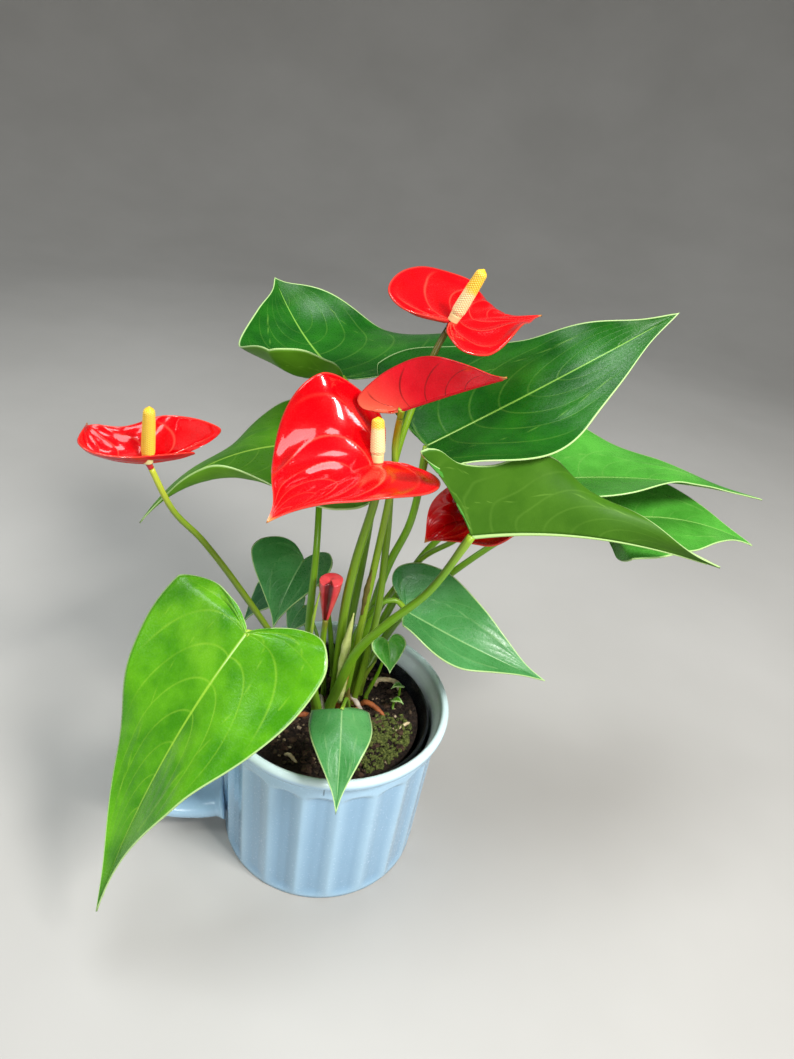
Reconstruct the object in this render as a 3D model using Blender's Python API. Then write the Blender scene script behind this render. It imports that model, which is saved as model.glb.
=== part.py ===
"""A flamingo flower in its nursery pot, standing in a fluted glazed mug pot.

Metres, +Z up. The origin is the middle of the mug pot's flat foot. -Y is the front
of the plant, and the pot's handle is on its left, towards -X.
"""

import math

import bmesh
import bpy
from mathutils import Matrix, Vector

MM = 0.001
GAP = 0.3 * MM
CORNER_ANGLE = math.radians(40)
WELD = 0.01 * MM

# Mug pot
POT_HEIGHT = 112 * MM
FOOT_RADIUS = 63.5 * MM
WALL_TOP_RADIUS = 66.4 * MM
RIM_RADIUS = 71 * MM
INNER_FOOT_RADIUS = 56 * MM
POT_FLOOR = 7 * MM
POT_FLOOR_FILLET = (2.5 * MM, 7 * MM)
FOOT_CHAMFER = 2.5 * MM
FOOT_INSET = 2 * MM
BAND_BOTTOM = 97 * MM
FLUTED_HEIGHTS = (14 * MM, 50 * MM)

# Rim: how far in from its widest radius and how far down from its top, in mm
RIM_PROFILE = (
    (3.6, 9), (1, 6.5), (0, 3.5), (1, 0.8), (2.6, 0), (4.4, 0.8), (5, 4), (7.2, 8.5), (8.9, 13),
)

# Flutes, shallow grooves around the wall below the band
FLUTES = 20
FLUTE_FACETS = 4
FLUTE_DEPTH = 2 * MM
FLUTE_PHASE = math.radians(-86)
FLUTE_FADE = 5 * MM

# Handle, an ear on the pot's left side
HANDLE_HEADING = math.radians(193)
HANDLE_ROUTE = ((64, 20), (82, 17), (103, 21), (117, 42), (115, 69), (100, 87), (82, 93), (64, 93))
HANDLE_WIDTH = 24 * MM
HANDLE_THICKNESS = 13 * MM
HANDLE_SIDES = 10
HANDLE_STEPS = 14
HANDLE_FLARE = 0.15

# Nursery pot
NURSERY_TOP = 101 * MM
NURSERY_LIP_RADIUS = 60 * MM
NURSERY_TOP_RADIUS = 57.5 * MM
NURSERY_FOOT_RADIUS = 43 * MM
NURSERY_WALL = 1.5 * MM
NURSERY_LIP_HEIGHT = 7 * MM
NURSERY_LIP_WIDTH = 2 * MM
NURSERY_SIDES = 40
DRAIN_HOLES = 6
DRAIN_RADIUS = 4 * MM
DRAIN_RING = 30 * MM
DRAIN_SIDES = 8

# Soil
SOIL_TOP = 94 * MM
SOIL_BUMP = 0.7 * MM
SOIL_SIDES = 32
SOIL_RINGS = 6
SOIL_SHOULDER = 4 * MM
SOIL_SIDE_GAP = 0.9 * MM
SOIL_RING_INSET = 0.04
STEM_DEPTH = 14 * MM
HOLE_CLEARANCE = 0.35 * MM

# Plant tissue
BLADE_THICKNESS = 0.8 * MM
SPATHE_THICKNESS = 1.0 * MM
STEM_SIDES = 7
BLADE_ROWS = 12
BLADE_COLUMNS = 3
MIDRIB_START = 0.30
MIDRIB_EASE = 1.15
CURL_STEPS = 10
PETIOLE_TAPER = (1.35, 1.1, 0.88, 0.8)
STEM_TAPER = (1, 1, 0.8)

# Stems: how far below and above the soil a stem stays upright, in mm
UPRIGHT_BELOW = 3
UPRIGHT_ABOVE = 6

# Spathe and spadix: a red collar joins the spathe to its stem
COLLAR_LENGTH = 4
COLLAR_RADIUS = 2
SPADIX_TAPER = (1, 1, 0.95, 0.85, 0.35)
SPADIX_SIDES = 8
SPADIX_STEPS = 8

# Half outlines along the midrib and out from it, from the sinus to the drip tip
LEAF_OUTLINE = (
    (0, 0), (-0.07, 0.10), (-0.18, 0.35), (-0.19, 0.66), (-0.07, 0.93), (0.10, 1.0),
    (0.26, 0.88), (0.46, 0.63), (0.66, 0.35), (0.84, 0.12), (1, 0),
)
HEART_OUTLINE = (
    (0, 0), (-0.12, 0.07), (-0.30, 0.30), (-0.32, 0.65), (-0.12, 0.94), (0.15, 1.0),
    (0.43, 0.82), (0.70, 0.42), (0.88, 0.12), (1, 0),
)
LOBED_OUTLINE = (
    (0, 0), (-0.02, 0.12), (-0.06, 0.42), (-0.15, 0.78), (-0.28, 1.12), (-0.22, 1.12), (-0.12, 0.90),
    (0.02, 0.82), (0.18, 0.92), (0.32, 0.90), (0.46, 0.66), (0.64, 0.40), (0.84, 0.14), (1, 0),
)

# Leaves: joint and tip in mm, width in mm, angles in degrees, foot of the petiole in mm
LEAVES = {
    "leaf_front_left": dict(
        joint=(-45, -50, 188), tip=(-102, -118, 44), width=104, roll=8, arch=6, sway=-3,
        fold=((-20, 8, 22), (8, 10, 10)), curl=((-18, -3, 25), (3, 8, 24)),
        lobes=(0.5, 0.27), widths=(0.95, 1.2),
        foot=(-10, -2), via=((-22, -20, 160),), radius=2.4),
    "leaf_back_left": dict(
        joint=(-27, 109, 271), tip=(-94, 209, 301), width=135, roll=-4, arch=-8, sway=1,
        fold=((2, -5, 12), (13, 2, 39)), curl=((73, 35, 10), (0, -12, 20)),
        lobes=(0.22, 0.7), widths=(0.90, 1.3), outline=HEART_OUTLINE,
        foot=(0, 41), via=((4, 72, 205), (-4, 92, 250), (-20, 98, 268)), radius=2.3),
    "leaf_mid_left": dict(
        joint=(-30, 60, 246), tip=(-130, 32, 190), width=88, roll=-6, arch=16, sway=-3,
        fold=((-10, -8, 0), (4, -16, -11)), curl=((15, 115, 60), (5, -11, -6)),
        lobes=(0.8, 1.1), widths=(1.42, 1.12),
        foot=(-15, 16), via=((-21, 13, 143), (-22, 18, 205)), radius=2.2),
    "leaf_upper_right": dict(
        joint=(31, 42, 264), tip=(157, 87, 347), width=128, roll=33, arch=2, sway=-2,
        fold=((-13, -20, 30), (44, 16, -8)), curl=((-5, -6, 30), (25, 8, -10)),
        lobes=(0.2, 0.1), widths=(1.22, 1.04),
        foot=(8, 18), via=((18, 25, 182), (29, 33, 221)), radius=2.6),
    "leaf_arched_right": dict(
        joint=(59, -21, 248), tip=(195, 5, 238), width=111, roll=-34, arch=8, sway=7,
        fold=((60, 60, 105), (65, 66, 14)), curl=((0, 5, 25), (2, 99, -18)),
        lobes=(0.1, 0.96), widths=(0.58, 0.79), outline=LOBED_OUTLINE,
        foot=(-2, 1), via=((9, -5, 147), (24, -11, 177), (44, -16, 208)), radius=2.5),
    "leaf_right": dict(
        joint=(115, 69, 245), tip=(253, 107, 235), width=98, arch=6,
        fold=((17, 5, -11), (15, 22, 10)), curl=((13, 0, -17), (5, 12, 0)),
        foot=(10, 38), via=((42, 70, 177), (83, 75, 221)), radius=2.3),
    "leaf_lower_right": dict(
        joint=(145, 60, 227), tip=(240, 70, 220), width=94, roll=6, arch=8, sway=2,
        fold=((8,), (9, 3, 3)), curl=((0,), (8, 4, 3)), lobes=(1.0, 0.1), widths=(1.1, 1.1),
        foot=(14, 29), via=((33, 50, 138), (71, 59, 185), (106, 60, 217)), radius=2.2),
    "leaf_low_right": dict(
        joint=(36, 20, 165), tip=(123, 4, 143), width=68, roll=18, arch=5, sway=-5,
        fold=((9, 22, 20), (35, 9, 11)), curl=((-6, 5, 5), (16, 4, 7)),
        lobes=(1.0, 0.1), widths=(1.08, 0.9),
        foot=(0, 17), via=((6, 15, 142), (16, 16, 167), (27, 19, 173)), radius=1.9),
    "leaf_front": dict(
        joint=(8, -50, 147), tip=(14, -92, 116), width=38, arch=5,
        fold=((-22, 7, 4), (-22, 1, 4)), curl=((-30, 3, 0), (-30, -4, 0)), lobes=(0.25, 0.1),
        foot=(11, -6), via=((9, -28, 134),), rows=10, columns=2, radius=1.2),
    "leaf_small_left": dict(
        joint=(-33, 50, 170), tip=(-44, 20, 137), width=58, roll=-5, arch=5,
        fold=((35,), (5,)), widths=(1.0, 1.15),
        foot=(-5, 33), via=((-16, 46, 145),), rows=10, columns=2, radius=1.5),
    "leaf_dark_left": dict(
        joint=(-52, 70, 132), tip=(-72, 60, 104), width=34, arch=3,
        fold=((5,), (5,)),
        foot=(-14, 34), via=((-32, 56, 122),), rows=8, columns=2, radius=1.3),
    "leaf_teal_left": dict(
        joint=(-30, 48, 136), tip=(-37, 42, 113), width=26, arch=3,
        fold=((5,), (5,)),
        foot=(-10, 25), via=((-19, 38, 124),), rows=8, columns=2, radius=1.2),
    "seedling_front": dict(
        joint=(37, 11, 103), tip=(43, 7, 104), width=6, arch=1,
        foot=(37, 12), via=((37, 11, 101),), rows=6, columns=1, radius=0.6),
    "seedling_back": dict(
        joint=(40, 24, 104), tip=(34, 18, 105), width=6, arch=1,
        foot=(40, 24), via=((40, 24, 102),), rows=6, columns=1, radius=0.6),
    "leaf_stunted": dict(
        joint=(27, 8, 150), tip=(31, 0, 133), width=22, arch=2,
        fold=((5,), (5,)),
        foot=(19, 14), via=((25, 9, 128),), rows=8, columns=2, radius=1.1),
}

# Flowers: spathe as a leaf blade, with the spadix's top and radius and the stem's foot
FLOWERS = {
    "flower_centre": dict(
        joint=(7, -5, 272), tip=(-35, -65, 264), width=98, roll=-19, arch=2,
        fold=((30, 35, 43), (25, -13, 8)), curl=((-27, -10, 24), (-3, -35, -5)),
        lobes=(0.6, 0.85), widths=(0.78, 1.06),
        spadix=(4, 0, 294), spadix_radius=3.7,
        foot=(-1, 9), via=((-1, 7, 165), (2, 5, 205), (8, 2, 248)), radius=2.7),
    "flower_top": dict(
        joint=(33, 45, 334), tip=(83, 86, 334), width=73, roll=12, arch=-1, sway=3,
        fold=((12, 9, -73), (-3, 19, 0)), curl=((0, 12, -11), (0, 7, 0)),
        lobes=(1.4, 0.7), widths=(1.14, 0.85),
        spadix=(44, 43, 362), spadix_radius=3.6,
        foot=(12, 10), via=((18, 9, 165), (17, 17, 215), (15, 23, 262), (25, 38, 312)), radius=2.1),
    "flower_left": dict(
        joint=(-104, -20, 260), tip=(-140, -5, 268), width=49, roll=3, arch=0, sway=16,
        fold=((26, 33, 18), (50, 26, 54)), curl=((9, 4, 4), (0, -5, 8)),
        lobes=(0.7, 0.85), widths=(0.5, 1.12),
        spadix=(-100, -26.5, 292), spadix_radius=3.3,
        foot=(-13, 6), via=((-57, 0, 172), (-79, -8, 210), (-94, -14, 231)), radius=1.9),
    "flower_coral": dict(
        joint=(15, 0, 300), tip=(58, -31, 334), width=45, roll=-11, arch=1, sway=3,
        fold=((34, 48, 50), (92, 85, 74)), curl=((0,), (4, 3, 2)),
        lobes=(0.6, 1.17), widths=(0.65, 0.95), collar=6,
        spadix=(21.5, 7.5, 313), spadix_radius=2.2,
        foot=(6, 6), via=((15, 9, 244), (14, 9, 278)), radius=2.1),
    "flower_low": dict(
        joint=(67, 35, 226), tip=(38, 12, 220), width=78, roll=-29, arch=3, sway=-4,
        fold=((45, 33, 30), (20, 60, 3)), curl=((16, 3, 0), (0, 25, -20)),
        lobes=(1.3, 1.0), widths=(1.0, 1.1),
        spadix=(59, 30, 242), spadix_radius=2.8,
        foot=(5, 30), via=((17, 46, 140), (38, 58, 177), (57, 43, 206)), radius=1.9),
}

# A flower still rolled up in its bud, among the stems
BUD_FOOT = (-8, 13)
BUD_STEM_RADIUS = 1.8
BUD_ROUTE = ((-11, 6, 140), (-11, 4, 163), (-10, 2, 193))
BUD_RADII = (1.9, 3.3, 4.7, 5.9, 6.6)
BUD_STEPS = 8
BUD_SIDES = 8

# Pointed bracts at the crown: foot, route and radius in mm
BRACTS = {
    "bract_green": dict(foot=(15, 20), route=((17, 16, 116), (22, 12, 131)), radius=1.7),
    "bract_tan": dict(foot=(4.5, 12), route=((4.5, 12, 108), (6, 9, 122)), radius=1.5),
}

BRACT_STEPS = 5
BRACT_TIP = 0.25

# An ivory root that arches out of the soil and back into it
ROOT_FEET = ((24, 31), (39, 32))
ROOT_CREST = ((26, 31, 99.5), (32, 30, 101.5), (37, 31, 99.5))
ROOT_RADIUS = 1.6
ROOT_STEPS = 8


def clear_scene():
    for item in list(bpy.data.objects):
        bpy.data.objects.remove(item, do_unlink=True)


def material(name, color, roughness, metallic=0.0):
    surface = bpy.data.materials.new(name)
    surface.use_nodes = True
    shader = surface.node_tree.nodes["Principled BSDF"]
    shader.inputs["Base Color"].default_value = (*color, 1.0)
    shader.inputs["Roughness"].default_value = roughness
    shader.inputs["Metallic"].default_value = metallic
    surface.diffuse_color = (*color, 1.0)
    return surface


def add_object(name, bm, surface=None):
    """Turns a bmesh into a scene object whose faces point out."""
    bmesh.ops.recalc_face_normals(bm, faces=bm.faces)
    mesh = bpy.data.meshes.new(name)
    bm.to_mesh(mesh)
    bm.free()
    mesh.shade_smooth()
    mesh.set_sharp_from_angle(angle=CORNER_ANGLE)
    if surface is not None:
        mesh.materials.append(surface)
    item = bpy.data.objects.new(name, mesh)
    bpy.context.scene.collection.objects.link(item)
    return item


def is_closed(mesh):
    """True where every edge of the mesh has exactly two faces."""
    uses = [0] * len(mesh.edges)
    for loop in mesh.loops:
        uses[loop.edge_index] += 1
    return bool(uses) and min(uses) == 2 and max(uses) == 2


def fuse(item, others, operation="UNION"):
    """Joins the other objects to item, or cuts them out of it, and removes them."""
    group = bpy.data.collections.new(item.name + "_tools")
    bpy.context.scene.collection.children.link(group)
    for other in others:
        group.objects.link(other)
        bpy.context.scene.collection.objects.unlink(other)
    modifier = item.modifiers.new("Join", "BOOLEAN")
    modifier.operation = operation
    modifier.operand_type = "COLLECTION"
    modifier.collection = group
    for solver in ("EXACT", "MANIFOLD"):
        modifier.solver = solver
        graph = bpy.context.evaluated_depsgraph_get()
        result = bpy.data.meshes.new_from_object(item.evaluated_get(graph))
        if is_closed(result):
            break
    item.modifiers.clear()
    item.data = result
    for other in others:
        bpy.data.objects.remove(other, do_unlink=True)
    bpy.data.collections.remove(group)
    return item


def spline(points, count):
    """Points at even steps along a smooth curve through the given points."""
    knots = [Vector(point) for point in points]
    ends = [knots[0] * 2 - knots[1]] + knots + [knots[-1] * 2 - knots[-2]]
    fine = []
    substeps = 16
    for k in range(len(knots) - 1):
        a, b, c, d = ends[k:k + 4]
        for step in range(substeps):
            t = step / substeps
            fine.append(0.5 * (2 * b + (c - a) * t + (2 * a - 5 * b + 4 * c - d) * t * t
                               + (3 * b - a - 3 * c + d) * t ** 3))
    fine.append(knots[-1])
    lengths = [0.0]
    for before, after in zip(fine, fine[1:]):
        lengths.append(lengths[-1] + (after - before).length)
    result = []
    k = 0
    for step in range(count + 1):
        target = lengths[-1] * step / count
        while k < len(fine) - 2 and lengths[k + 1] < target:
            k += 1
        share = (target - lengths[k]) / max(lengths[k + 1] - lengths[k], 1e-12)
        result.append(fine[k].lerp(fine[k + 1], min(max(share, 0.0), 1.0)))
    return result


def loft(bm, rings, closed_start=True, closed_end=True):
    """Skins rings of points, each as long as the last, and caps the ends."""
    loops = [[bm.verts.new(point) for point in ring] for ring in rings]
    for lower, upper in zip(loops, loops[1:]):
        count = len(lower)
        for i in range(count):
            j = (i + 1) % count
            bm.faces.new((lower[i], lower[j], upper[j], upper[i]))
    if closed_start:
        bm.faces.new(loops[0][::-1])
    if closed_end:
        bm.faces.new(loops[-1])


def tube(name, route, radii, sides=STEM_SIDES, surface=None):
    """A closed tube along a route, with its radius blended along the given radii."""
    bm = bmesh.new()
    rings = []
    side = Vector((1, 0, 0))
    last = len(route) - 1
    for k, centre in enumerate(route):
        ahead = (route[min(k + 1, last)] - route[max(k - 1, 0)]).normalized()
        side = (side - ahead * side.dot(ahead)).normalized()
        up = ahead.cross(side)
        place = k / last * (len(radii) - 1)
        low = min(int(place), len(radii) - 2)
        radius = radii[low] + (radii[low + 1] - radii[low]) * (place - low)
        ring = []
        for i in range(sides):
            turn = 2 * math.pi * i / sides
            ring.append(centre + radius * (side * math.cos(turn) + up * math.sin(turn)))
        rings.append(ring)
    loft(bm, rings)
    return add_object(name, bm, surface)


def blend(values, x):
    """Base, middle and tip values eased along the midrib."""
    x = min(max(x, 0.0), 1.0)
    if len(values) == 1:
        return values[0]
    half = min(int(x * 2), 1)
    t = x * 2 - half
    t = t * t * (3 - 2 * t)
    return values[half] + (values[half + 1] - values[half]) * t


def blade_frame(joint, tip, roll):
    """Length and directions of a blade: along the midrib, out to its left, and up."""
    along = tip - joint
    length = along.length
    along = along / length
    up = Vector((0, 0, 1))
    up = (up - along * up.dot(along)).normalized()
    left = up.cross(along)
    turn = Matrix.Rotation(math.radians(roll), 3, along)
    return length, along, turn @ left, turn @ up


def blade_mesh(joint, tip, width, outline, roll=0, arch=0, sway=0, fold=((0,), (0,)),
               curl=((0,), (0,)), lobes=(1.0, 1.0), widths=(1.0, 1.0),
               rows=BLADE_ROWS, columns=BLADE_COLUMNS):
    """A heart-shaped blade: rows run from the midrib out to each margin."""
    joint = Vector(joint) * MM
    length, along, left, up = blade_frame(joint, Vector(tip) * MM, roll)
    edge = spline([(x, y, 0) for x, y in outline], rows)
    bm = bmesh.new()
    bmesh.ops.create_grid(bm, x_segments=rows, y_segments=2 * columns, size=1)
    for vert in bm.verts:
        row = round((vert.co.x + 1) / 2 * rows)
        out = abs(vert.co.y)
        half = 0 if vert.co.y >= 0 else 1
        rib = max(0.0, (row / rows - MIDRIB_START) / (1 - MIDRIB_START)) ** MIDRIB_EASE
        x = rib + (edge[row].x - rib) * out
        reach = edge[row].y * out * width * MM / 2 * widths[half]
        across = 0.0
        rise = 0.0
        for step in range(CURL_STEPS):
            share = (step + 0.5) / CURL_STEPS * out
            angle = math.radians(blend(fold[half], x) + blend(curl[half], x) * share ** 2)
            across += math.cos(angle) * reach / CURL_STEPS
            rise += math.sin(angle) * reach / CURL_STEPS
        if half == 1:
            across = -across
        run = x * (lobes[half] if x < 0 else 1.0) * length
        rise += 4 * arch * MM * x * (1 - x)
        across += 4 * sway * MM * x * (1 - x)
        vert.co = joint + along * run + left * across + up * rise
    bmesh.ops.remove_doubles(bm, verts=bm.verts, dist=WELD)
    bmesh.ops.triangulate(bm, faces=bm.faces)
    return bm


def blade(name, thickness, surface, **shape):
    """A blade as one closed body with an even thickness."""
    bm = blade_mesh(**shape)
    bmesh.ops.recalc_face_normals(bm, faces=bm.faces)
    mesh = bpy.data.meshes.new(name)
    bm.to_mesh(mesh)
    bm.free()
    mesh.materials.append(surface)
    item = bpy.data.objects.new(name, mesh)
    bpy.context.scene.collection.objects.link(item)
    modifier = item.modifiers.new("Thickness", "SOLIDIFY")
    modifier.thickness = thickness
    modifier.offset = 0
    graph = bpy.context.evaluated_depsgraph_get()
    solid = bpy.data.meshes.new_from_object(item.evaluated_get(graph))
    item.modifiers.clear()
    item.data = solid
    return item


def stem_route(foot, via, end):
    """Centre line of a stem, straight in its hole and then through the via points."""
    x, y = foot
    level = SOIL_TOP / MM
    heights = (level - STEM_DEPTH / MM, level - UPRIGHT_BELOW, level + UPRIGHT_ABOVE)
    points = [(x, y, height) for height in heights] + [*via, end]
    return [Vector(point) * MM for point in points]


def stem_line(foot, via, end, steps=11):
    """The route as a polyline whose first stretch stays upright in the soil."""
    route = stem_route(foot, via, end)
    free = spline(route[2:], steps)
    return [route[0], route[1]] + free


def leaf(name, spec, green):
    shape = {key: value for key, value in spec.items() if key not in ("foot", "via", "radius")}
    shape.setdefault("outline", LEAF_OUTLINE)
    body = blade(name, BLADE_THICKNESS, green, **shape)
    line = stem_line(spec["foot"], spec["via"], spec["joint"])
    radii = [spec["radius"] * MM * share for share in PETIOLE_TAPER]
    return fuse(body, [tube(name + "_petiole", line, radii, surface=green)])


def flower(name, spec, green, red, yellow):
    """The stem, spathe and spadix of one flower, each its own body."""
    keys = ("foot", "via", "radius", "collar", "spadix", "spadix_radius")
    shape = {key: value for key, value in spec.items() if key not in keys}
    joint = Vector(spec["joint"]) * MM
    line = stem_line(spec["foot"], spec["via"], spec["joint"])
    rise = (line[-1] - line[-2]).normalized()
    radii = [spec["radius"] * MM * share for share in STEM_TAPER]
    collar = spec.get("collar", COLLAR_LENGTH) * MM
    line[-1] = joint - rise * (collar + GAP)
    tube(name + "_stem", line, radii, surface=green)
    body = blade(name + "_spathe", SPATHE_THICKNESS, red, outline=HEART_OUTLINE, **shape)
    lean = (Vector(spec["spadix"]) * MM - joint).normalized()
    seat = [joint - rise * collar, joint, joint + lean * collar]
    foot_radius = COLLAR_RADIUS * MM
    fuse(body, [tube(name + "_collar", seat, (radii[-1], radii[-1], foot_radius), surface=red)])
    start = joint + lean * (collar + GAP)
    top = Vector(spec["spadix"]) * MM
    spike = spline([start, start.lerp(top, 0.5), top], SPADIX_STEPS)
    radii = [foot_radius] + [spec["spadix_radius"] * MM * share for share in SPADIX_TAPER]
    tube(name + "_spadix", spike, radii, SPADIX_SIDES, yellow)


def around(radius, angle, height):
    """A point at a radius and an angle about the pot's axis."""
    return Vector((radius * math.cos(angle), radius * math.sin(angle), height))


def circle(radius, height, sides):
    return [around(radius, 2 * math.pi * i / sides, height) for i in range(sides)]


def pot_radius(angle, height):
    """Radius of the mug pot's wall, drawn in along each flute below the plain band."""
    share = height / BAND_BOTTOM
    plain = FOOT_RADIUS + (WALL_TOP_RADIUS - FOOT_RADIUS) * share
    wave = 0.5 - 0.5 * math.cos(FLUTES * (angle - FLUTE_PHASE))
    fade = min(max((BAND_BOTTOM - height) / FLUTE_FADE, 0.0), 1.0)
    return plain - FLUTE_DEPTH * wave * fade


def mug_pot(glaze):
    sides = FLUTES * FLUTE_FACETS
    fluted = (FOOT_CHAMFER, *FLUTED_HEIGHTS, BAND_BOTTOM - FLUTE_FADE, BAND_BOTTOM)
    fillet_out, fillet_up = POT_FLOOR_FILLET
    plain = [(RIM_RADIUS - inset * MM, POT_HEIGHT - drop * MM) for inset, drop in RIM_PROFILE]
    plain.append((INNER_FOOT_RADIUS + fillet_out, POT_FLOOR + fillet_up))
    plain.append((INNER_FOOT_RADIUS, POT_FLOOR))
    angles = [2 * math.pi * i / sides for i in range(sides)]
    foot = FOOT_RADIUS - FOOT_INSET
    rings = [circle(foot, 0, sides)]
    for height in fluted:
        rings.append([around(pot_radius(a, height), a, height) for a in angles])
    for radius, height in plain:
        rings.append(circle(radius, height, sides))
    bm = bmesh.new()
    loft(bm, rings)
    return fuse(add_object("mug_pot", bm, glaze), [handle(glaze)])


def handle(glaze):
    """An ear handle: a flattened oval section swept along its route."""
    route = spline([(r * MM, 0, z * MM) for r, z in HANDLE_ROUTE], HANDLE_STEPS)
    bm = bmesh.new()
    rings = []
    for k, centre in enumerate(route):
        ahead = (route[min(k + 1, HANDLE_STEPS)] - route[max(k - 1, 0)]).normalized()
        across = Vector((0, 1, 0))
        out = across.cross(ahead)
        flare = 1 + HANDLE_FLARE * abs(2 * k / HANDLE_STEPS - 1) ** 3
        ring = []
        for i in range(HANDLE_SIDES):
            turn = 2 * math.pi * (i + 0.5) / HANDLE_SIDES
            ring.append(centre + across * (HANDLE_WIDTH / 2 * flare * math.cos(turn))
                        + out * (HANDLE_THICKNESS / 2 * math.sin(turn)))
        rings.append(ring)
    loft(bm, rings)
    bmesh.ops.rotate(bm, verts=bm.verts, matrix=Matrix.Rotation(HANDLE_HEADING, 3, "Z"))
    return add_object("handle", bm, glaze)


def turned(name, profile, sides, surface):
    """A closed turned body from (radius, height) pairs, capped at both ends."""
    bm = bmesh.new()
    loft(bm, [circle(radius, height, sides) for radius, height in profile])
    return add_object(name, bm, surface)


def nursery_pot(plastic):
    foot = POT_FLOOR + GAP
    lip = NURSERY_TOP - NURSERY_LIP_HEIGHT
    profile = (
        (NURSERY_FOOT_RADIUS, foot),
        (NURSERY_TOP_RADIUS, lip),
        (NURSERY_LIP_RADIUS, lip),
        (NURSERY_LIP_RADIUS, NURSERY_TOP),
        (NURSERY_LIP_RADIUS - NURSERY_LIP_WIDTH, NURSERY_TOP),
        (NURSERY_TOP_RADIUS - NURSERY_WALL, lip - NURSERY_LIP_WIDTH),
        (NURSERY_FOOT_RADIUS - NURSERY_WALL, foot + NURSERY_WALL),
    )
    body = turned("nursery_pot", profile, NURSERY_SIDES, plastic)
    cutters = []
    for k in range(DRAIN_HOLES):
        turn = 2 * math.pi * k / DRAIN_HOLES
        route = [around(DRAIN_RING, turn, foot + reach) for reach in (-DRAIN_RADIUS, DRAIN_RADIUS)]
        cutters.append(tube(f"drain_{k}", route, (DRAIN_RADIUS, DRAIN_RADIUS), DRAIN_SIDES))
    return fuse(body, cutters, "DIFFERENCE")


def soil_level(x, y):
    """Height of the soil's bumpy surface, two slow waves that cross."""
    wave = math.sin(190 * x + 1.1) * math.cos(160 * y - 0.6) + 0.6 * math.sin(330 * x - 270 * y)
    return SOIL_TOP + SOIL_BUMP * wave


def soil(earth, stems):
    """The soil as one body, with a plain hole for each stem."""
    floor = POT_FLOOR + GAP + NURSERY_WALL + GAP
    lip = NURSERY_TOP - NURSERY_LIP_HEIGHT - NURSERY_LIP_WIDTH
    shoulder = SOIL_TOP - SOIL_SHOULDER
    slope = (NURSERY_TOP_RADIUS - NURSERY_FOOT_RADIUS) / (lip - floor)
    low_radius = NURSERY_FOOT_RADIUS - NURSERY_WALL - SOIL_SIDE_GAP
    side = low_radius + slope * (shoulder - floor)
    rings = [circle(low_radius, floor, SOIL_SIDES), circle(side, shoulder, SOIL_SIDES)]
    for k in range(SOIL_RINGS):
        flat = circle(side * (1 - (k + SOIL_RING_INSET) / SOIL_RINGS), 0, SOIL_SIDES)
        rings.append([Vector((p.x, p.y, soil_level(p.x, p.y))) for p in flat])
    bm = bmesh.new()
    loft(bm, rings)
    body = add_object("soil", bm, earth)
    cutters = []
    for k, (x, y, radius) in enumerate(stems):
        low = SOIL_TOP - STEM_DEPTH - GAP
        high = SOIL_TOP + SOIL_SHOULDER
        route = [Vector((x * MM, y * MM, low)), Vector((x * MM, y * MM, high))]
        hole = radius * MM + HOLE_CLEARANCE
        cutters.append(tube(f"stem_hole_{k}", route, (hole, hole)))
    return fuse(body, cutters, "DIFFERENCE")


def bud(green, red):
    """A rolled-up spathe on its own stem, one tapering body."""
    bend, base, top = BUD_ROUTE
    line = stem_line(BUD_FOOT, [bend], base, BUD_STEPS)
    radius = BUD_STEM_RADIUS * MM
    tube("flower_bud_stem", line, (radius, radius), surface=green)
    start = Vector(base) * MM
    finish = Vector(top) * MM
    ahead = (line[-1] - line[-2]).normalized()
    route = [start + ahead * GAP, start.lerp(finish, 0.5), finish]
    radii = [value * MM for value in BUD_RADII]
    tube("flower_bud", spline(route, BUD_STEPS), radii, BUD_SIDES, red)


def bract(name, spec, color):
    """A short pointed bract, standing in the soil."""
    bend, top = spec["route"]
    line = stem_line(spec["foot"], [bend], top, BRACT_STEPS)
    radius = spec["radius"] * MM
    tube(name, line, (radius, radius, BRACT_TIP * radius), surface=color)


def aerial_root(color):
    """A root with both ends upright in their holes."""
    start, finish = ROOT_FEET
    buried = SOIL_TOP / MM - STEM_DEPTH / MM
    level = SOIL_TOP / MM + UPRIGHT_BELOW
    crest = spline([(*start, level), *ROOT_CREST, (*finish, level)], ROOT_STEPS)
    line = [Vector((*start, buried)), *crest, Vector((*finish, buried))]
    radius = ROOT_RADIUS * MM
    tube("aerial_root", [point * MM for point in line], (radius, radius), surface=color)


def main():
    clear_scene()
    glaze = material("sky_glaze", (0.36, 0.60, 0.78), 0.25)
    plastic = material("black_plastic", (0.012, 0.014, 0.018), 0.3)
    earth = material("potting_soil", (0.035, 0.022, 0.014), 0.95)
    green = material("leaf_green", (0.10, 0.30, 0.04), 0.35)
    stalk = material("stalk_green", (0.16, 0.32, 0.04), 0.4)
    red = material("spathe_red", (0.75, 0.01, 0.02), 0.15)
    yellow = material("spadix_yellow", (0.90, 0.65, 0.08), 0.5)
    tan = material("bract_tan", (0.45, 0.16, 0.04), 0.6)
    ivory = material("root_ivory", (0.72, 0.60, 0.38), 0.6)
    mug_pot(glaze)
    nursery_pot(plastic)
    stems = [(*spec["foot"], spec["radius"] * PETIOLE_TAPER[0]) for spec in LEAVES.values()]
    stems += [(*spec["foot"], spec["radius"]) for spec in FLOWERS.values()]
    stems.append((*BUD_FOOT, BUD_STEM_RADIUS))
    stems += [(*spec["foot"], spec["radius"]) for spec in BRACTS.values()]
    stems += [(*foot, ROOT_RADIUS) for foot in ROOT_FEET]
    soil(earth, stems)
    for name, spec in LEAVES.items():
        leaf(name, spec, green)
    for name, spec in FLOWERS.items():
        flower(name, spec, stalk, red, yellow)
    bud(stalk, red)
    for name, spec in BRACTS.items():
        bract(name, spec, tan if name == "bract_tan" else stalk)
    aerial_root(ivory)


main()
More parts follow.
